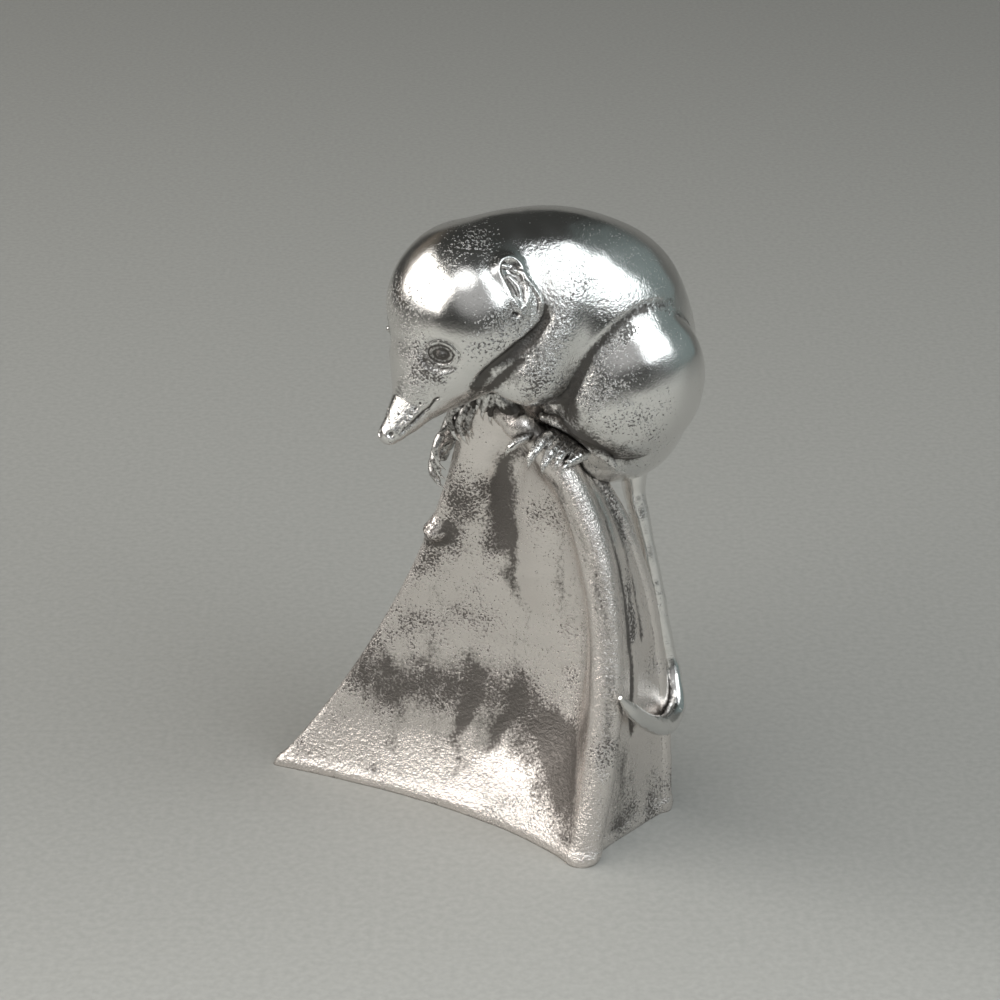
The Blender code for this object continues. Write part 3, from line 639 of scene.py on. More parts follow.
def net(form, low, high, cell):
    """A closed net of quads over the form within a box."""
    low = np.asarray(low, float)
    count = np.ceil((np.asarray(high) - low) / cell).astype(int) + 1
    spots = low + cell * np.moveaxis(np.indices(count), 0, -1)
    # A first look at every fourth spot finds the few that need a second
    places = [np.clip((np.arange(size) + 2) // 4, 0, (size - 1) // 4) for size in count]
    coarse = spots[::4, ::4, ::4]
    heights = form(coarse.reshape(-1, 3)).reshape(coarse.shape[:3])[np.ix_(*places)]
    close = np.abs(heights) < 6 * cell
    heights[close] = form(spots[close])
    inside = heights < 0
    corners = list(itertools.product((0, 1), repeat=3))
    sizes = count - 1
    filled = sum(inside[a:sizes[0] + a, b:sizes[1] + b, c:sizes[2] + c].astype(int)
                 for a, b, c in corners)
    crossed = (filled > 0) & (filled < 8)
    number = -np.ones(crossed.shape, int)
    number[crossed] = np.arange(crossed.sum())
    cells = np.argwhere(crossed)
    total = np.zeros((len(cells), 3))
    hits = np.zeros(len(cells))
    for index, first in enumerate(corners):
        for second in corners[index + 1:]:
            if sum(abs(np.subtract(first, second))) != 1:
                continue
            a = heights[tuple((cells + first).T)]
            b = heights[tuple((cells + second).T)]
            cross = (a < 0) != (b < 0)
            t = np.where(cross, a / np.where(cross, a - b, 1.0), 0.0)
            spot = cells + np.array(first) + t[:, None] * np.subtract(second, first)
            total[cross] += spot[cross]
            hits[cross] += 1
    points = low + cell * total / hits[:, None]
    quads = []
    for axis in range(3):
        others = [(axis + 1) % 3, (axis + 2) % 3]
        here, there = [slice(None)] * 3, [slice(None)] * 3
        here[axis], there[axis] = slice(0, -1), slice(1, None)
        for other in others:
            here[other] = there[other] = slice(1, -1)
        at = np.argwhere(inside[tuple(here)] != inside[tuple(there)])
        u, w = np.eye(3, dtype=int)[others]
        at = at + u + w
        quad = np.stack([number[tuple((at - step).T)] for step in (u + w, w, 0 * u, u)], 1)
        solid = inside[tuple(at.T)]
        quad[~solid] = quad[~solid][:, ::-1]
        quads.append(quad)
    return points, np.concatenate(quads)


def settle(form, points, times, limit=0.6, step=0.01):
    """Move points onto the form's skin."""
    for _ in range(times):
        gap = form(points)
        grow = np.stack([(form(points + axis) - gap) / step for axis in np.eye(3) * step], 1)
        size = np.maximum(np.linalg.norm(grow, axis=1), 1e-3)
        points = points - grow * (np.clip(gap / size, -limit, limit) / size)[:, None]
    return points


def sides_of(quads):
    """The sides of quads as pairs of points: all first sides, then all second ones and so on."""
    return np.concatenate([quads[:, [i, (i + 1) % 4]] for i in range(4)])


def gathered(ids, values, count):
    """Sums of the rows of values that have the same id."""
    return np.stack([np.bincount(ids, column, count) for column in values.T], 1)


def even_out(points, quads, times, share=0.6):
    """Draw each point towards the mean of its neighbours."""
    sides = sides_of(quads)
    pairs = np.concatenate((sides, sides[:, ::-1]))
    count = np.maximum(np.bincount(pairs[:, 0], minlength=len(points)), 1)[:, None]
    for _ in range(times):
        total = gathered(pairs[:, 0], points[pairs[:, 1]], len(points))
        points = points + share * (total / count - points)
    return points


def split_some(points, quads, chosen):
    """Divide the chosen quads into four; the others' faces take in the corners between."""
    count = len(points)
    sides = sides_of(quads)
    low, high = sides.min(1), sides.max(1)
    keys = low.astype(np.int64) * count + high
    _, first, back = np.unique(keys, return_index=True, return_inverse=True)
    back = back.reshape(4, -1).T
    used = np.zeros(len(first), bool)
    used[back[chosen]] = True
    first = first[used]
    number = np.cumsum(used) - 1 + count
    middles = (points[low[first]] + points[high[first]]) / 2
    edge = number[back[chosen]]
    corners = quads[chosen]
    centre = count + len(middles) + np.arange(len(corners))
    parts = [np.stack((corners[:, i], edge[:, i], centre, edge[:, i - 1]), 1) for i in range(4)]
    faces = []
    for quad, around in zip(quads[~chosen].tolist(), back[~chosen].tolist()):
        face = []
        for corner, side in zip(quad, around):
            face.append(corner)
            if used[side]:
                face.append(int(number[side]))
        faces.append(face)
    return np.concatenate((points, middles, points[corners].mean(1))), np.concatenate(parts), faces


def skin(form, low, high, cell):
    """The form's skin as even quads, each a quarter of a cell."""
    points, quads = net(form, low, high, cell)
    points = settle(form, points, 3)
    points = settle(form, even_out(points, quads, 2), 1)
    points, quads, _ = split_some(points, quads, np.ones(len(quads), bool))
    points = settle(form, points, 2)
    return settle(form, even_out(points, quads, 1), 1), quads


def normals_of(points, quads):
    """Smooth normals, one for each point."""
    corners = [points[column] for column in quads.T]
    across = np.cross(corners[2] - corners[0], corners[3] - corners[1])
    normals = gathered(quads.ravel(), np.repeat(across, 4, axis=0), len(points))
    return normals / np.maximum(np.linalg.norm(normals, axis=1), 1e-12)[:, None]


def ripple(points, size, seed):
    """Smooth random heights from -1 to 1, the same in each run."""
    table = np.random.default_rng(seed).uniform(-1.0, 1.0, RIPPLE_COUNT)
    q = points / size
    base = np.floor(q).astype(np.int64)
    t = q - base
    t = t * t * (3.0 - 2.0 * t)
    total = np.zeros(len(points))
    for corner in itertools.product((0, 1), repeat=3):
        weight = np.prod(np.where(corner, t, 1.0 - t), axis=1)
        key = (base + corner) @ np.array(RIPPLE_KEYS)
        total += weight * table[key % len(table)]
    return total


def ripples(points, layers):
    """Several ripples, one over the other."""
    return sum(height * ripple(points, size, seed) for height, size, seed in layers)


def drawn(points, strokes, snap, fade=1.5):
    """How far strokes lift each point; each is stops, width and height, snapped to the skin."""
    lift = np.zeros(len(points))
    for stops, width, height in strokes:
        line = snap(smooth_line(stops, LINE_STEPS) if len(stops) > 1 else np.array([stops[0]] * 2))
        within = (points > line.min(0) - width) & (points < line.max(0) + width)
        near = np.flatnonzero(np.all(within, axis=1))
        gap = np.full(len(near), np.inf)
        full = np.ones(len(near))
        spans = np.linalg.norm(np.diff(line, axis=0), axis=1)
        lengths = np.concatenate(((0.0,), np.cumsum(spans)))
        for start, end, done in zip(line, line[1:], lengths):
            run = end - start
            size = np.linalg.norm(run)
            t = np.clip((points[near] - start) @ run / max(size ** 2, 1e-9), 0.0, 1.0)
            reach = np.linalg.norm(points[near] - start - t[:, None] * run, axis=1)
            closer = reach < gap
            gap[closer] = reach[closer]
            if fade:
                # A stroke fades towards both its ends
                place = done + t[closer] * size
                place = np.minimum(place, lengths[-1] - place)
                full[closer] = np.clip(place / (fade * width), 0.0, 1.0)
        if lengths[-1] < width:
            full[:] = 1.0
        lift[near] += height * full * np.clip(1.0 - (gap / width) ** 2, 0.0, 1.0) ** 2
    return lift


def hollows_of(points, quads, normals, rounds):
    """How deep each point lies in a hollow: each round is times evened out and full depth."""
    deep = np.zeros(len(points))
    for times, full in rounds:
        away = even_out(points, quads, times) - points
        deep = np.maximum(deep, np.sum(away * normals, axis=1) / full)
    return np.clip(deep, 0.0, 1.0)


def new_object(name, data):
    """A new object in the scene."""
    thing = bpy.data.objects.new(name, data)
    bpy.context.collection.objects.link(thing)
    return thing


def make_mesh(name, points, faces, material):
    """An object at the origin from points in millimetres."""
    mesh = bpy.data.meshes.new(name)
    mesh.from_pydata((points * MM).tolist(), [], faces)
    mesh.shade_smooth()
    mesh.materials.append(material)
    return new_object(name, mesh)


def points_of(thing):
    """An object's points in millimetres."""
    return np.array([vertex.co for vertex in thing.data.vertices]) / MM


def write_layer(thing, name, values):
    """Keep a value from 0 to 1 at each point, for the materials to read."""
    layer = thing.data.attributes.get(name) or thing.data.attributes.new(name, "FLOAT", "POINT")
    layer.data.foreach_set("value", np.clip(values, 0.0, 1.0).astype(np.float32))


def write_wear_and_painted_shade(thing, wear_and_painted_shade):
    """Keep where a piece is worn and where shade is painted on it; each stroke is axes, stops,
    width and strength.
    """
    points = points_of(thing)
    for name, strokes in wear_and_painted_shade.items():
        lines = [(out_of(axes, stops), *sizes) for axes, stops, *sizes in strokes]
        lift = drawn(points, lines, lambda line: nearest(points, line), fade=0.0)
        write_layer(thing, name, lift)


# The perch


def ridge_tips(share):
    """Tips of the three ridges at a share of their way from foot 0 to crown 1."""
    rest = 1.0 - share
    weights = np.array((rest ** 3, 3 * rest ** 2 * share, 3 * rest * share ** 2, share ** 3))
    return [weights @ np.array(ridge) for ridge in RIDGES]


def eased(table, share):
    """A row of the table read at a share of the way from rim to crown, without corners."""
    share = max(share - RIM_SHARE, 0.0) / (1.0 - RIM_SHARE)
    line = smooth_line(table, EASE_STEPS)
    place = share * (len(line) - 1)
    return [np.interp(place, range(len(line)), column) for column in line.T]


def perch_ring(share):
    """One closed ring of the perch: three rounded edges joined by drawn-in sides."""
    tips = ridge_tips(share)
    middle = sum(tips) / 3.0
    middle = middle + ((tips[FRONT] + tips[RIGHT]) / 2 - middle) * MIDDLE_SHIFT
    arcs = []
    for tip, (foot, crown) in zip(tips, EDGES):
        outward = (tip - middle) * (1.0, 1.0, 0.0)
        length = np.linalg.norm(outward)
        outward /= length
        radius = min(foot + (crown - foot) * share, EDGE_LIMIT * length)
        start = math.atan2(outward[1], outward[0]) - math.pi / 2
        angles = start + math.pi * np.arange(EDGE_STEPS + 1) / EDGE_STEPS
        circle = np.stack((np.cos(angles), np.sin(angles), 0 * angles), 1)
        arcs.append(tip - outward * radius + circle * radius)
    back = np.array(BACK_LINE[0]) * (1 - share) + np.array(BACK_LINE[1]) * share
    sides = ((FRONT_HOLLOW, middle, 2 * SIDE_STEPS), (RIGHT_HOLLOW, middle, SIDE_STEPS),
             (BACK_SWELL, back, 2 * SIDE_STEPS))
    ring = []
    for index, (table, towards, steps) in enumerate(sides):
        here, there = arcs[index], arcs[(index + 1) % 3]
        pulls = eased(table, share)
        start, end = here[-1], there[0]
        first = start + (towards - start) * pulls[0]
        second = end + (towards - end) * pulls[1]
        t = (np.arange(1, steps) / steps)[:, None]
        ring.append(here)
        ring.append((1 - t) ** 3 * start + 3 * (1 - t) ** 2 * t * first
                    + 3 * (1 - t) * t ** 2 * second + t ** 3 * end)
    return np.concatenate(ring)


def ring_quads(rings, around):
    """Quads between stacked rings of the same number of points."""
    row, column = np.meshgrid(np.arange(rings - 1), np.arange(around), indexing="ij")
    after = (column + 1) % around
    return np.stack((row * around + column, row * around + after,
                     (row + 1) * around + after, (row + 1) * around + column), -1).reshape(-1, 4)


def build_perch(settings, material):
    """The hollow-sided perch with its nodule, ridges and crown."""
    rings = [perch_ring(step / settings.rings) for step in range(settings.rings + 1)]
    top = rings[-1]
    middle = top.mean(0)
    for angle in np.radians(DOME_ANGLES):
        rise = np.array((0.0, 0.0, CROWN_DOME * math.sin(angle)))
        rings.append(middle + (top - middle) * max(math.cos(angle), DOME_LEAST) + rise)
    around = len(top)
    points = np.concatenate(rings)
    quads = ring_quads(len(rings), around)
    normals = normals_of(points, quads)
    lift = ripples(points, PERCH_RIPPLES)
    lift += RIM_LIFT * np.exp(-((points[:, 2] - RIM_HEIGHT) / RIM_HEIGHT) ** 2)
    lift += drawn(points, PERCH_STROKES, lambda line: nearest(points, line))
    move = normals * lift[:, None]
    # The foot stays flat
    move[:, 2] *= np.clip(points[:, 2], 0.0, 1.0)
    points = points + move
    recess = hollows_of(points, quads, normals_of(points, quads), PERCH_HOLLOWS)
    faces = quads.tolist()
    faces.append((np.arange(around) + (len(rings) - 1) * around).tolist())
    # The rim that it stands on, and the step that the floor plate sits in
    foot = points[:around]
    ledge = foot.mean(0) + (foot - foot.mean(0)) * LEDGE_WIDTH
    ledge_top = ledge + (0.0, 0.0, LEDGE_DEPTH)
    start = len(points)
    points = np.concatenate((points, ledge, ledge_top))
    for index in range(around):
        after = (index + 1) % around
        low, next_low = start + index, start + after
        faces.append((after, index, low, next_low))
        faces.append((next_low, low, low + around, next_low + around))
    faces.append((np.arange(around)[::-1] + start + around).tolist())
    perch = make_mesh("perch", points, faces, material)
    write_layer(perch, "recess", np.concatenate((recess, np.ones(2 * around))))
    write_wear_and_painted_shade(perch, {name: [(np.eye(4), *stroke) for stroke in strokes]
                       for name, strokes in PERCH_WEAR_AND_PAINTED_SHADE.items()})
    return perch


def nearest(points, places):
    """The point nearest to each place."""
    return np.array([points[np.argmin(np.sum((points - place) ** 2, axis=1))] for place in places])


# The shrew


def build_shrew(settings, material):
    """Head, trunk, legs and arms as one skin, finest about the face and the near ear."""
    points, quads = skin(shrew_clay, *SHREW_BOX, settings.cell)
    # The trunk's roll is faintly faceted, so its bare stretches are evened out more
    bare = np.clip(1.0 - np.abs(trunk_clay(points)) / BARE_REACH, 0.0, 1.0)[:, None]
    points = points + bare * (even_out(points, quads, BARE_ROUNDS) - points)
    middles = into(HEAD, points[quads].mean(1))
    fine = np.zeros(len(quads), bool)
    for place, reach in FINE_SPOTS:
        fine |= np.linalg.norm(middles - place, axis=1) < reach
    plain = quads[~fine]
    count = len(points)
    points, finer, faces = split_some(points, quads, fine)
    new = np.arange(len(points)) >= count
    new[np.unique(finer)] = True
    points[new] = settle(shrew_clay, points[new], 3)
    quads = np.concatenate((finer, plain))
    normals = normals_of(points, quads)
    lift = ripples(points, SHREW_RIPPLES)
    lift += drawn(points, shrew_strokes(), lambda line: settle(shrew_clay, line, 6))
    points = points + normals * lift[:, None]
    recess = hollows_of(points, quads, normals_of(points, quads), SHREW_HOLLOWS)
    shrew = make_mesh("shrew", points, finer.tolist() + faces, material)
    write_layer(shrew, "recess", recess)
    write_wear_and_painted_shade(shrew, SHREW_WEAR_AND_PAINTED_SHADE)
    return shrew


def shrew_strokes():
    """Mouth, whisker pits, lids and creases on both sides, in the perch's axes."""
    head = [MOUTH, LIP, NAPE_EDGE, NAPE_CREASE, EAR_NOTCH]
    head += [([pit], *WHISKER_SIZE) for pit in WHISKERS]
    for length, tall, width, height in EYE_RINGS:
        ring = oval(EYE_AT, EYE_AHEAD, EYE_ALONG, length, tall, np.linspace(*RING_SWEEP))
        head.append((ring, width, height))
    length, tall, width, height = LID_BEADS
    beads = oval(EYE_AT, EYE_AHEAD, EYE_ALONG, length, tall, np.linspace(*LID_SWEEP))
    head += [([bead], width, height) for bead in beads]
    return [(out_of(axes, np.multiply(stops, (1.0, side, 1.0))), width, height)
            for side in (1.0, -1.0)
            for axes, strokes in ((HEAD, head), (BODY, (THIGH_CREASE, THIGH_FOLD)))
            for stops, width, height in strokes]


def build_paw(name, cell, material):
    """A foot or paw: a sole and toes pressed together."""
    rolls = PAWS[name]
    spots = np.concatenate([stops for stops, _ in rolls])
    reach = max(max(radii) for _, radii in rolls) + PAW_ROOM
    form = rolls_clay(rolls, TOE_SPREAD)
    points, quads = skin(form, spots.min(0) - reach, spots.max(0) + reach, cell)
    points = points + normals_of(points, quads) * ripples(points, PAW_RIPPLES)[:, None]
    paw = make_mesh(name + "_skin", points, quads.tolist(), material)
    recess = hollows_of(points, quads, normals_of(points, quads), PAW_HOLLOWS)
    write_layer(paw, "recess", recess)
    write_layer(paw, "darkened", np.full(len(points), PAW_DARK[name]))
    return paw


def tapered_roll_tree():
    """Geometry nodes that turn lines into rolls as thick as their points say."""
    tree = bpy.data.node_groups.new("tapered roll", "GeometryNodeTree")
    for name, kind in (("Geometry", "Geometry"), ("Sides", "Int"), ("Step", "Float"),
                       ("Material", "Material")):
        tree.interface.new_socket(name=name, in_out="INPUT", socket_type="NodeSocket" + kind)
    tree.interface.new_socket(name="Geometry", in_out="OUTPUT", socket_type="NodeSocketGeometry")
    given = tree.nodes.new("NodeGroupInput").outputs
    evened = add_node(tree, "GeometryNodeResampleCurve",
                      {"Curve": given["Geometry"], "Length": given["Step"]}, mode="LENGTH")
    ring = add_node(tree, "GeometryNodeCurvePrimitiveCircle",
                    {"Resolution": given["Sides"], "Radius": 1.0})
    thick = add_node(tree, "GeometryNodeInputRadius")
    swept = add_node(tree, "GeometryNodeCurveToMesh",
                     {"Curve": evened.outputs[0], "Profile Curve": ring.outputs[0],
                      "Scale": thick.outputs[0], "Fill Caps": True})
    real = add_node(tree, "GeometryNodeRealizeInstances", {0: swept.outputs[0]})
    dressed = add_node(tree, "GeometryNodeSetMaterial",
                       {"Geometry": real.outputs[0], "Material": given["Material"]})
    tree.links.new(dressed.outputs[0], tree.nodes.new("NodeGroupOutput").inputs[0])
    return tree


def rolled(name, lines, radii, sides, step, material):
    """One mesh of rolls along lines in millimetres, made by geometry nodes."""
    curve = bpy.data.curves.new(name + " lines", "CURVE")
    curve.dimensions = "3D"
    for stops in lines:
        line = smooth_line(stops, LINE_STEPS)
        widths = np.interp(np.linspace(0, len(radii) - 1, len(line)), range(len(radii)), radii)
        spline = curve.splines.new("POLY")
        spline.points.add(len(line) - 1)
        for point, place, width in zip(spline.points, line * MM, widths * MM):
            point.co = (*place, 1.0)
            point.radius = width
    draft = new_object(name + " draft", curve)
    tree = bpy.data.node_groups.get("tapered roll") or tapered_roll_tree()
    roller = draft.modifiers.new("tapered roll", "NODES")
    roller.node_group = tree
    given = {"Sides": sides, "Step": step * MM, "Material": material}
    for item in tree.interface.items_tree:
        if item.in_out == "INPUT" and item.name in given:
            roller[item.identifier] = given[item.name]
    bpy.context.view_layer.update()
    graph = bpy.context.evaluated_depsgraph_get()
    mesh = bpy.data.meshes.new_from_object(draft.evaluated_get(graph))
    bpy.data.objects.remove(draft)
    mesh.shade_smooth()
    return new_object(name, mesh)


def build_tail(material):
    """The tail, rolled out along the ridges with a faintly uneven skin."""
    line = [ridge_tips(share)[ridge] + np.array(away) for ridge, share, away in TAIL_STOPS]
    tail = rolled("tail_skin", [line], TAIL_RADII, TAIL_SIDES, TAIL_STEP, material)
    points = points_of(tail)
    normals = np.array([vertex.normal for vertex in tail.data.vertices])
    points += normals * ripples(points, TAIL_RIPPLES)[:, None]
    tail.data.vertices.foreach_set("co", (points * MM).ravel())
    tail.data.update()
    return tail


# Materials


def add_node(tree, kind, links=None, **settings):
    """A node with its settings, and its inputs set to values or wired to sockets."""
    node = tree.nodes.new(kind)
    for name, value in settings.items():
        setattr(node, name, value)
    for socket, value in (links or {}).items():
        if isinstance(value, bpy.types.NodeSocket):
            tree.links.new(value, node.inputs[socket])
        else:
            node.inputs[socket].default_value = value
    return node


def reckon(tree, operation, *values):
    """A number worked out of others."""
    values = dict(enumerate(values))
    return add_node(tree, "ShaderNodeMath", values, operation=operation).outputs[0]


def reckon_places(tree, operation, values):
    """The same for places and colours."""
    return add_node(tree, "ShaderNodeVectorMath", values, operation=operation).outputs


def noise(tree, spot, scale, detail, roughness=0.5):
    """Noise with so many lumps to the metre."""
    return add_node(tree, "ShaderNodeTexNoise", {
        "Vector": spot, "Scale": scale, "Detail": detail, "Roughness": roughness}).outputs["Fac"]


def spread(tree, value, start, end, low=0.0, high=1.0, ease="LINEAR"):
    """A number from low to high, as the value goes from start to end."""
    return add_node(tree, "ShaderNodeMapRange", {
        "Value": value, "From Min": start, "From Max": end, "To Min": low, "To Max": high},
        interpolation_type=ease).outputs["Result"]


def new_group(name, numbers, result):
    """An empty shader group that takes a place and numbers, and gives one number."""
    tree = bpy.data.node_groups.new(name, "ShaderNodeTree")
    for socket, way, kind in (("Vector", "INPUT", "Vector"),
                              *((number, "INPUT", "Float") for number in numbers),
                              (result, "OUTPUT", "Float")):
        tree.interface.new_socket(name=socket, in_out=way, socket_type="NodeSocket" + kind)
    given = tree.nodes.new("NodeGroupInput").outputs
    return tree, given, tree.nodes.new("NodeGroupOutput").inputs[result]


def new_material(name):
    """A material with its nodes and its shader."""
    material = bpy.data.materials.new(name)
    material.use_nodes = True
    return material, material.node_tree, material.node_tree.nodes["Principled BSDF"]


def grain_group():
    """Fine cast grain over coarser hammering, as heights."""
    tree, given, result = new_group("cast grain", ("Fine", "Hammered"), "Height")
    height = 0.0
    for scale, detail, share in ((GRAINS_PER_METRE, 3.0, "Fine"),
                                 (DENTS_PER_METRE, 2.0, "Hammered")):
        grain = noise(tree, given["Vector"], scale, detail, roughness=0.6)
        height = reckon(tree, "MULTIPLY_ADD", grain, given[share], height)
    tree.links.new(height, result)
    return tree


def pits_group():
    """Small dark casting pits, thick in some places and thin in others."""
    tree, given, result = new_group("casting pits", ("Pits per metre", "Cover"), "Mask")
    speckle = noise(tree, given["Vector"], given["Pits per metre"], detail=2.0, roughness=0.7)
    patch = noise(tree, given["Vector"], PATCHES_PER_METRE, detail=2.0)
    depth = reckon(tree, "SUBTRACT", reckon(tree, "MULTIPLY", patch, given["Cover"]), speckle)
    tree.links.new(spread(tree, depth, *PIT_EDGE), result)
    return tree


def patina_and_shade_group():
    """Dark silver left in the recesses, with a ragged edge; the painted shade of the darkened
    layer and of sheltered spots darkens through the same mask.
    """
    tree, given, result = new_group("recess patina", ("Recess", "Strength"), "Mask")
    ragged = given["Recess"]
    for scale, tall, share in RAGS:
        spot = reckon_places(tree, "MULTIPLY", {0: given["Vector"], 1: (1.0, 1.0, tall)})[0]
        rag = noise(tree, spot, scale, detail=4.0, roughness=0.65)
        shifted = reckon(tree, "SUBTRACT", rag, 0.5)
        ragged = reckon(tree, "MULTIPLY_ADD", shifted, share, ragged)
    tree.links.new(spread(tree, ragged, *PATINA_AND_SHADE_EDGE, high=given["Strength"]), result)
    return tree


def read_layer(tree, name, base, gain):
    """A point layer of the mesh, times a gain and raised by a base."""
    layer = add_node(tree, "ShaderNodeAttribute", attribute_name=name)
    return reckon(tree, "MULTIPLY_ADD", layer.outputs["Fac"], gain, base)


def silver_material(name, groups, tint, patina, roughness):
    """Silver with cast grain, hammering, pits, patina in the recesses and painted shade."""
    material, tree, shader = new_material(name + " silver")
    look = SILVERS[name]
    spot = add_node(tree, "ShaderNodeTexCoord").outputs["Object"]
    # The darkened layer, painted shade and painted reflection, is laid over the patina of the
    # recesses
    darkened = read_layer(tree, "darkened", 0.0, 1.0)
    values = {
        "grain": {"Fine": read_layer(tree, "hammered", *look["fine"]),
                  "Hammered": read_layer(tree, "hammered", *look["dents"])},
        "pits": {"Pits per metre": PITS_PER_METRE,
                 "Cover": read_layer(tree, "pitted", *look["cover"])},
        "patina": {"Recess": read_layer(tree, "recess", darkened, 1.0),
                   "Strength": look["patina"]},
    }
    masks = {kind: add_node(tree, "ShaderNodeGroup", {"Vector": spot, **given},
                            node_tree=groups[kind]).outputs[0] for kind, given in values.items()}
    faint = reckon(tree, "MULTIPLY", masks["pits"], PIT_DARKNESS)
    dark = reckon(tree, "MAXIMUM", faint, masks["patina"])
    colour = add_node(tree, "ShaderNodeMix", {"Factor": dark, 6: (*tint, 1.0), 7: (*patina, 1.0)},
                      data_type="RGBA")
    tree.links.new(colour.outputs[2], shader.inputs["Base Color"])
    clean = spread(tree, noise(tree, spot, CLOUDS_PER_METRE, detail=3.0), *NOISE_SPAN,
                   *(roughness * share for share in CLOUDING))
    rough = add_node(tree, "ShaderNodeMix", {"Factor": dark, 2: clean, 3: PATINA_AND_SHADE_ROUGHNESS})
    tree.links.new(rough.outputs[0], shader.inputs["Roughness"])
    height = reckon(tree, "MULTIPLY_ADD", masks["pits"], -PIT_DEPTH, masks["grain"])
    bump = add_node(tree, "ShaderNodeBump",
                    {"Height": height, "Distance": DENT_DEPTH * MM, "Strength": 1.0})
    tree.links.new(bump.outputs["Normal"], shader.inputs["Normal"])
    shader.inputs["Metallic"].default_value = 1.0
    return material


# Settings


class StudioSettings(PropertyGroup):
    """Camera, card and lamps."""
    lens: FloatProperty(name="Lens", description="Focal length in millimetres", default=100.0)
    distance: FloatProperty(
        name="Distance", description="Camera to target, in millimetres", default=417.0)
    elevation: FloatProperty(
        name="Elevation", description="Camera above the horizon, in degrees", default=25.0)
    card: FloatVectorProperty(
        name="Card", description="Colour of the card that it stands on", subtype="COLOR",
        default=(0.40, 0.40, 0.38))
    left_box: FloatProperty(
        name="Left softbox", description="Watts of the left softbox", default=11.0)
    right_box: FloatProperty(
        name="Right softbox", description="Watts of the right softbox", default=5.0)


class SilverSettings(PropertyGroup):
    """Colour and finish of the silver."""
    silver: FloatVectorProperty(
        name="Silver", description="Colour of clean silver", subtype="COLOR",
        default=(0.86, 0.85, 0.83))
    warm: FloatVectorProperty(
        name="Warm silver", description="Colour of the perch's silver", subtype="COLOR",
        default=(0.90, 0.85, 0.815))
    patina: FloatVectorProperty(
        name="Patina and shade", description="Colour of darkened silver", subtype="COLOR",
        default=(0.07, 0.062, 0.055))
    polish: FloatProperty(
        name="Polish", description="Roughness of the polished shrew", default=0.18)
    satin: FloatProperty(name="Satin", description="Roughness of the perch", default=0.22)


class PerchSettings(PropertyGroup):
    """How finely the perch is drawn."""
    rings: IntProperty(name="Rings", description="Rings from foot to crown", default=200)


class ShrewSettings(PropertyGroup):
    """How finely the shrew is drawn."""
    cell: FloatProperty(
        name="Cell", description="Size of the first net's cells, in millimetres", default=0.62)
    toe_cell: FloatProperty(
        name="Toe cell", description="The same for the feet and paws", default=0.26)


MATERIALS = {}


def make_materials(look):
    """The silvers, for the operators to put on."""
    groups = {"grain": grain_group(), "pits": pits_group(), "patina": patina_and_shade_group()}
    for name, tint, roughness in (
            ("polished", look.silver, look.polish), ("satin", look.warm, look.satin),
            ("darkened", look.silver, look.polish), ("matte", look.warm, MATTE_ROUGHNESS)):
        MATERIALS[name] = silver_material(name, groups, tint, look.patina, roughness)


class FIGURINE_OT_studio(Operator):
    """Lay the card, hang the softboxes and place the camera"""
    bl_idname = "figurine.studio"
    bl_label = "Studio"

    def execute(self, context):
        studio = context.scene.figurine_studio
        build_card(studio)
        for name, watts in zip(SOFTBOXES, (studio.left_box, studio.right_box)):
            softbox(name, watts, *SOFTBOXES[name])
        build_world()
        place_camera(context.scene, studio)
        return {"FINISHED"}


def build_card(studio):
    """A card that sweeps up behind the object, its grey painted with light and shade: brighter
    just in front of the object, darker further in front, to the left and far off.
    """
    profile = [(CARD_START, 0.0), (CARD_BEND, 0.0)]
    for angle in np.radians(np.arange(CARD_STEP, CARD_TILT + 1, CARD_STEP)):
        profile.append((CARD_BEND + CARD_SWEEP * math.sin(angle),
                        CARD_SWEEP * (1 - math.cos(angle))))
    run, rise = math.cos(math.radians(CARD_TILT)), math.sin(math.radians(CARD_TILT))
    profile.append((profile[-1][0] + CARD_RUN * run, profile[-1][1] + CARD_RUN * rise))
    points = np.array([(x, y, z) for y, z in profile for x in (-CARD_SIDE, CARD_SIDE)]) / MM
    faces = [(2 * i, 2 * i + 1, 2 * i + 3, 2 * i + 2) for i in range(len(profile) - 1)]
    material, tree, shader = new_material("grey card")
    spot = add_node(tree, "ShaderNodeTexCoord").outputs["Object"]
    grey_and_painted_light = spread(tree, noise(tree, spot, FLECKS_PER_METRE, detail=2.0), *NOISE_SPAN, *FLECKING)
    place = add_node(tree, "ShaderNodeSeparateXYZ", {0: spot}).outputs
    away = reckon_places(tree, "LENGTH", {0: spot})["Value"]
    # Painted shade to the left, far in front and far off, and a painted pool of light just in
    # front
    for value, fade in ((place["X"], CARD_LEFT_SHADE), (place["Y"], CARD_FRONT_SHADE),
                        (place["Y"], CARD_NEAR_LIGHT), (away, CARD_FAR_SHADE)):
        grey_and_painted_light = reckon(tree, "MULTIPLY", spread(tree, value, *fade, ease="SMOOTHSTEP"), grey_and_painted_light)
    colour = reckon_places(tree, "SCALE", {0: tuple(studio.card), "Scale": grey_and_painted_light})[0]
    tree.links.new(colour, shader.inputs["Base Color"])
    shader.inputs["Roughness"].default_value = CARD_ROUGHNESS
    shader.inputs["Specular IOR Level"].default_value = CARD_SHEEN
    make_mesh("grey_card", points, faces, material)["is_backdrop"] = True


def way_to(azimuth, elevation):
    """The way from the object to a place in the studio."""
    turn, climb = math.radians(azimuth), math.radians(elevation)
    return Vector((math.sin(turn) * math.cos(climb), math.cos(turn) * math.cos(climb),
                   math.sin(climb)))


def softbox(name, watts, azimuth, elevation, size, tint):
    """A rectangular lamp that faces the object."""
    light = bpy.data.lights.new(name, "AREA")
    light.shape = "RECTANGLE"
    light.size, light.size_y = size
    light.energy = watts
    light.color = tint
    lamp = new_object(name, light)
    away = way_to(azimuth, elevation)
    lamp.location = Vector(SOFTBOX_AIM) + away * SOFTBOX_AWAY
    lamp.rotation_euler = away.to_track_quat("Z", "Y").to_euler()


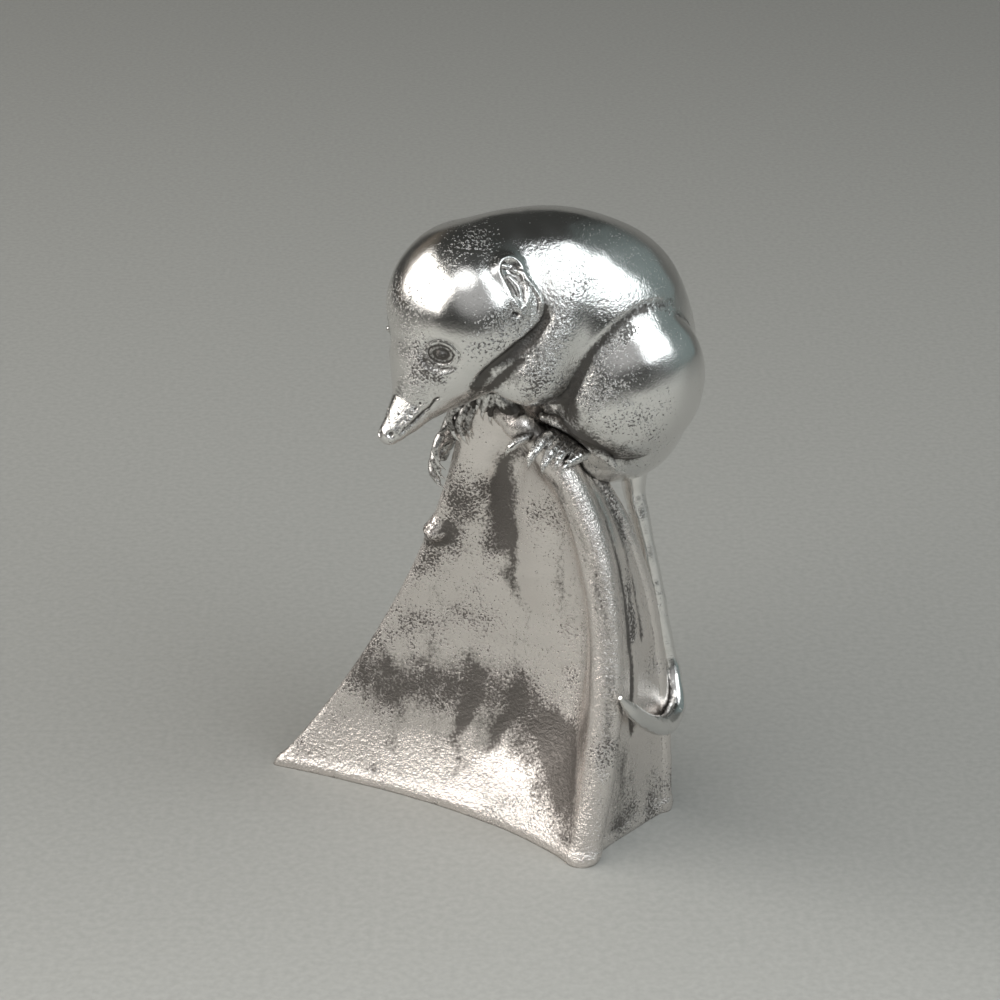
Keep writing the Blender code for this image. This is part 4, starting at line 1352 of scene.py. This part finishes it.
def build_world():
    """A dark room with soft pale lobes in it."""
    world = bpy.data.worlds.new("dark studio")
    world.use_nodes = True
    tree = world.node_tree
    way = add_node(tree, "ShaderNodeTexCoord").outputs["Generated"]
    total = ROOM
    for azimuth, elevation, inner, outer, colour in LOBES:
        near = reckon_places(tree, "DOT_PRODUCT", {0: way, 1: way_to(azimuth, elevation)})["Value"]
        share = spread(tree, near, math.cos(math.radians(outer)), math.cos(math.radians(inner)),
                       ease="SMOOTHSTEP")
        lit = reckon_places(tree, "SCALE", {0: colour, "Scale": share})[0]
        total = reckon_places(tree, "ADD", {0: total, 1: lit})[0]
    tree.links.new(total, tree.nodes["Background"].inputs["Color"])
    bpy.context.scene.world = world


def place_camera(scene, studio):
    """The camera in front of the object, looking a little down."""
    camera = bpy.data.objects.new("camera", bpy.data.cameras.new("camera"))
    scene.collection.objects.link(camera)
    camera.data.lens = studio.lens
    camera.data.sensor_width = SENSOR_WIDTH
    camera.data.clip_start = NEAR_LIMIT
    climb = math.radians(studio.elevation)
    away = Vector((0.0, -math.cos(climb), math.sin(climb)))
    camera.location = Vector(TARGET) * MM + away * studio.distance * MM
    camera.rotation_euler = (math.pi / 2 - climb, 0.0, 0.0)
    scene.camera = camera
    scene.view_settings.view_transform = "Standard"


class FIGURINE_OT_perch(Operator):
    """Draw the three-ridged perch"""
    bl_idname = "figurine.perch"
    bl_label = "Perch"

    def execute(self, context):
        perch = build_perch(context.scene.figurine_perch, MATERIALS["satin"])
        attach(perch, ROOT)
        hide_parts("perch_casting")
        return {"FINISHED"}


class FIGURINE_OT_shrew(Operator):
    """Press the shrew's head, body and legs into one skin"""
    bl_idname = "figurine.shrew"
    bl_label = "Shrew"

    def execute(self, context):
        shrew = build_shrew(context.scene.figurine_shrew, MATERIALS["polished"])
        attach(shrew, ROOT)
        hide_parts("trunk_casting", "head_casting", "left_foreleg", "right_foreleg",
                    "left_hind_leg", "right_hind_leg")
        return {"FINISHED"}


class FIGURINE_OT_paws(Operator):
    """Model the feet and paws with their toes and claws"""
    bl_idname = "figurine.paws"
    bl_label = "Feet and paws"

    def execute(self, context):
        for name in PAWS:
            paw = build_paw(name, context.scene.figurine_shrew.toe_cell, MATERIALS["darkened"])
            claws = rolled(name + "_claws", CLAWS[name], CLAW_RADII, CLAW_SIDES, CLAW_STEP,
                           MATERIALS["darkened"])
            for thing in (paw, claws):
                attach(thing, ROOT)
                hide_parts(name)
        return {"FINISHED"}


class FIGURINE_OT_tail(Operator):
    """Roll out the tail round the right side of the perch"""
    bl_idname = "figurine.tail"
    bl_label = "Tail"

    def execute(self, context):
        tail = build_tail(MATERIALS["polished"])
        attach(tail, ROOT)
        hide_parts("tail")
        return {"FINISHED"}


class FIGURINE_OT_patina_and_shade(Operator):
    """Find where pieces shelter one another, and darken them there as patina and painted contact
    shade
    """
    bl_idname = "figurine.patina"
    bl_label = "Patina and shade"

    def execute(self, context):
        pieces = [thing for thing in bpy.data.objects if thing.type == "MESH"
                  and ("recess" in thing.data.attributes or thing.name == "tail_skin")]
        solids = []
        for thing in pieces:
            points = points_of(thing)
            faces = [tuple(face.vertices) for face in thing.data.polygons]
            solids.append((points, BVHTree.FromPolygons(points.tolist(), faces)))
        for index, thing in enumerate(pieces):
            points = solids[index][0]
            layer = thing.data.attributes.get("recess")
            values = np.zeros(len(points), np.float32)
            if layer:
                layer.data.foreach_get("value", values)
            for other, (others, tree) in enumerate(solids):
                if other == index:
                    continue
                low, high = others.min(0) - SHELTER, others.max(0) + SHELTER
                # Patina and painted contact shade, the nearer another piece the darker
                for spot in np.flatnonzero(np.all((points > low) & (points < high), axis=1)):
                    gap = tree.find_nearest(points[spot], SHELTER)[3]
                    if gap is not None:
                        values[spot] = max(values[spot], 1.0 - gap / SHELTER)
            write_layer(thing, "recess", values)
        return {"FINISHED"}


class FIGURINE_OT_fittings(Operator):
    """Give the floor plate and the pins their finish"""
    bl_idname = "figurine.fittings"
    bl_label = "Plate and pins"

    def execute(self, context):
        for name in ("floor_plate", "front_mounting_pin", "rear_mounting_pin", "neck_pin"):
            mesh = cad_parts[name].data
            mesh.materials.clear()
            mesh.materials.append(MATERIALS["matte"])
        return {"FINISHED"}


class FIGURINE_PT_panel(Panel):
    """The steps that make the figurine, in order"""
    bl_idname = "FIGURINE_PT_panel"
    bl_label = "Shrew figurine"
    bl_space_type = "VIEW_3D"
    bl_region_type = "UI"
    bl_category = "Shrew"

    def draw(self, context):
        for step in STEPS:
            self.layout.operator(step.bl_idname)


SETTINGS = {
    "figurine_studio": StudioSettings,
    "figurine_silver": SilverSettings,
    "figurine_perch": PerchSettings,
    "figurine_shrew": ShrewSettings,
}
STEPS = (FIGURINE_OT_studio, FIGURINE_OT_perch, FIGURINE_OT_shrew, FIGURINE_OT_paws,
         FIGURINE_OT_tail, FIGURINE_OT_patina_and_shade, FIGURINE_OT_fittings)


def register():
    for kind in (*SETTINGS.values(), *STEPS, FIGURINE_PT_panel):
        bpy.utils.register_class(kind)
    for name, kind in SETTINGS.items():
        setattr(bpy.types.Scene, name, PointerProperty(type=kind))


def unregister():
    for name in SETTINGS:
        delattr(bpy.types.Scene, name)
    for kind in (FIGURINE_PT_panel, *reversed(STEPS), *reversed(SETTINGS.values())):
        bpy.utils.unregister_class(kind)


def main():
    register()
    make_materials(bpy.context.scene.figurine_silver)
    bpy.ops.figurine.studio()
    bpy.ops.figurine.perch()
    bpy.ops.figurine.shrew()
    bpy.ops.figurine.paws()
    bpy.ops.figurine.tail()
    bpy.ops.figurine.patina()
    bpy.ops.figurine.fittings()
    boxes = {"cad": CAD_BOX, "visual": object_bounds()}
    {name: [list(corner) for corner in box] for name, box in boxes.items()}


if __name__ == "__main__":
    main()
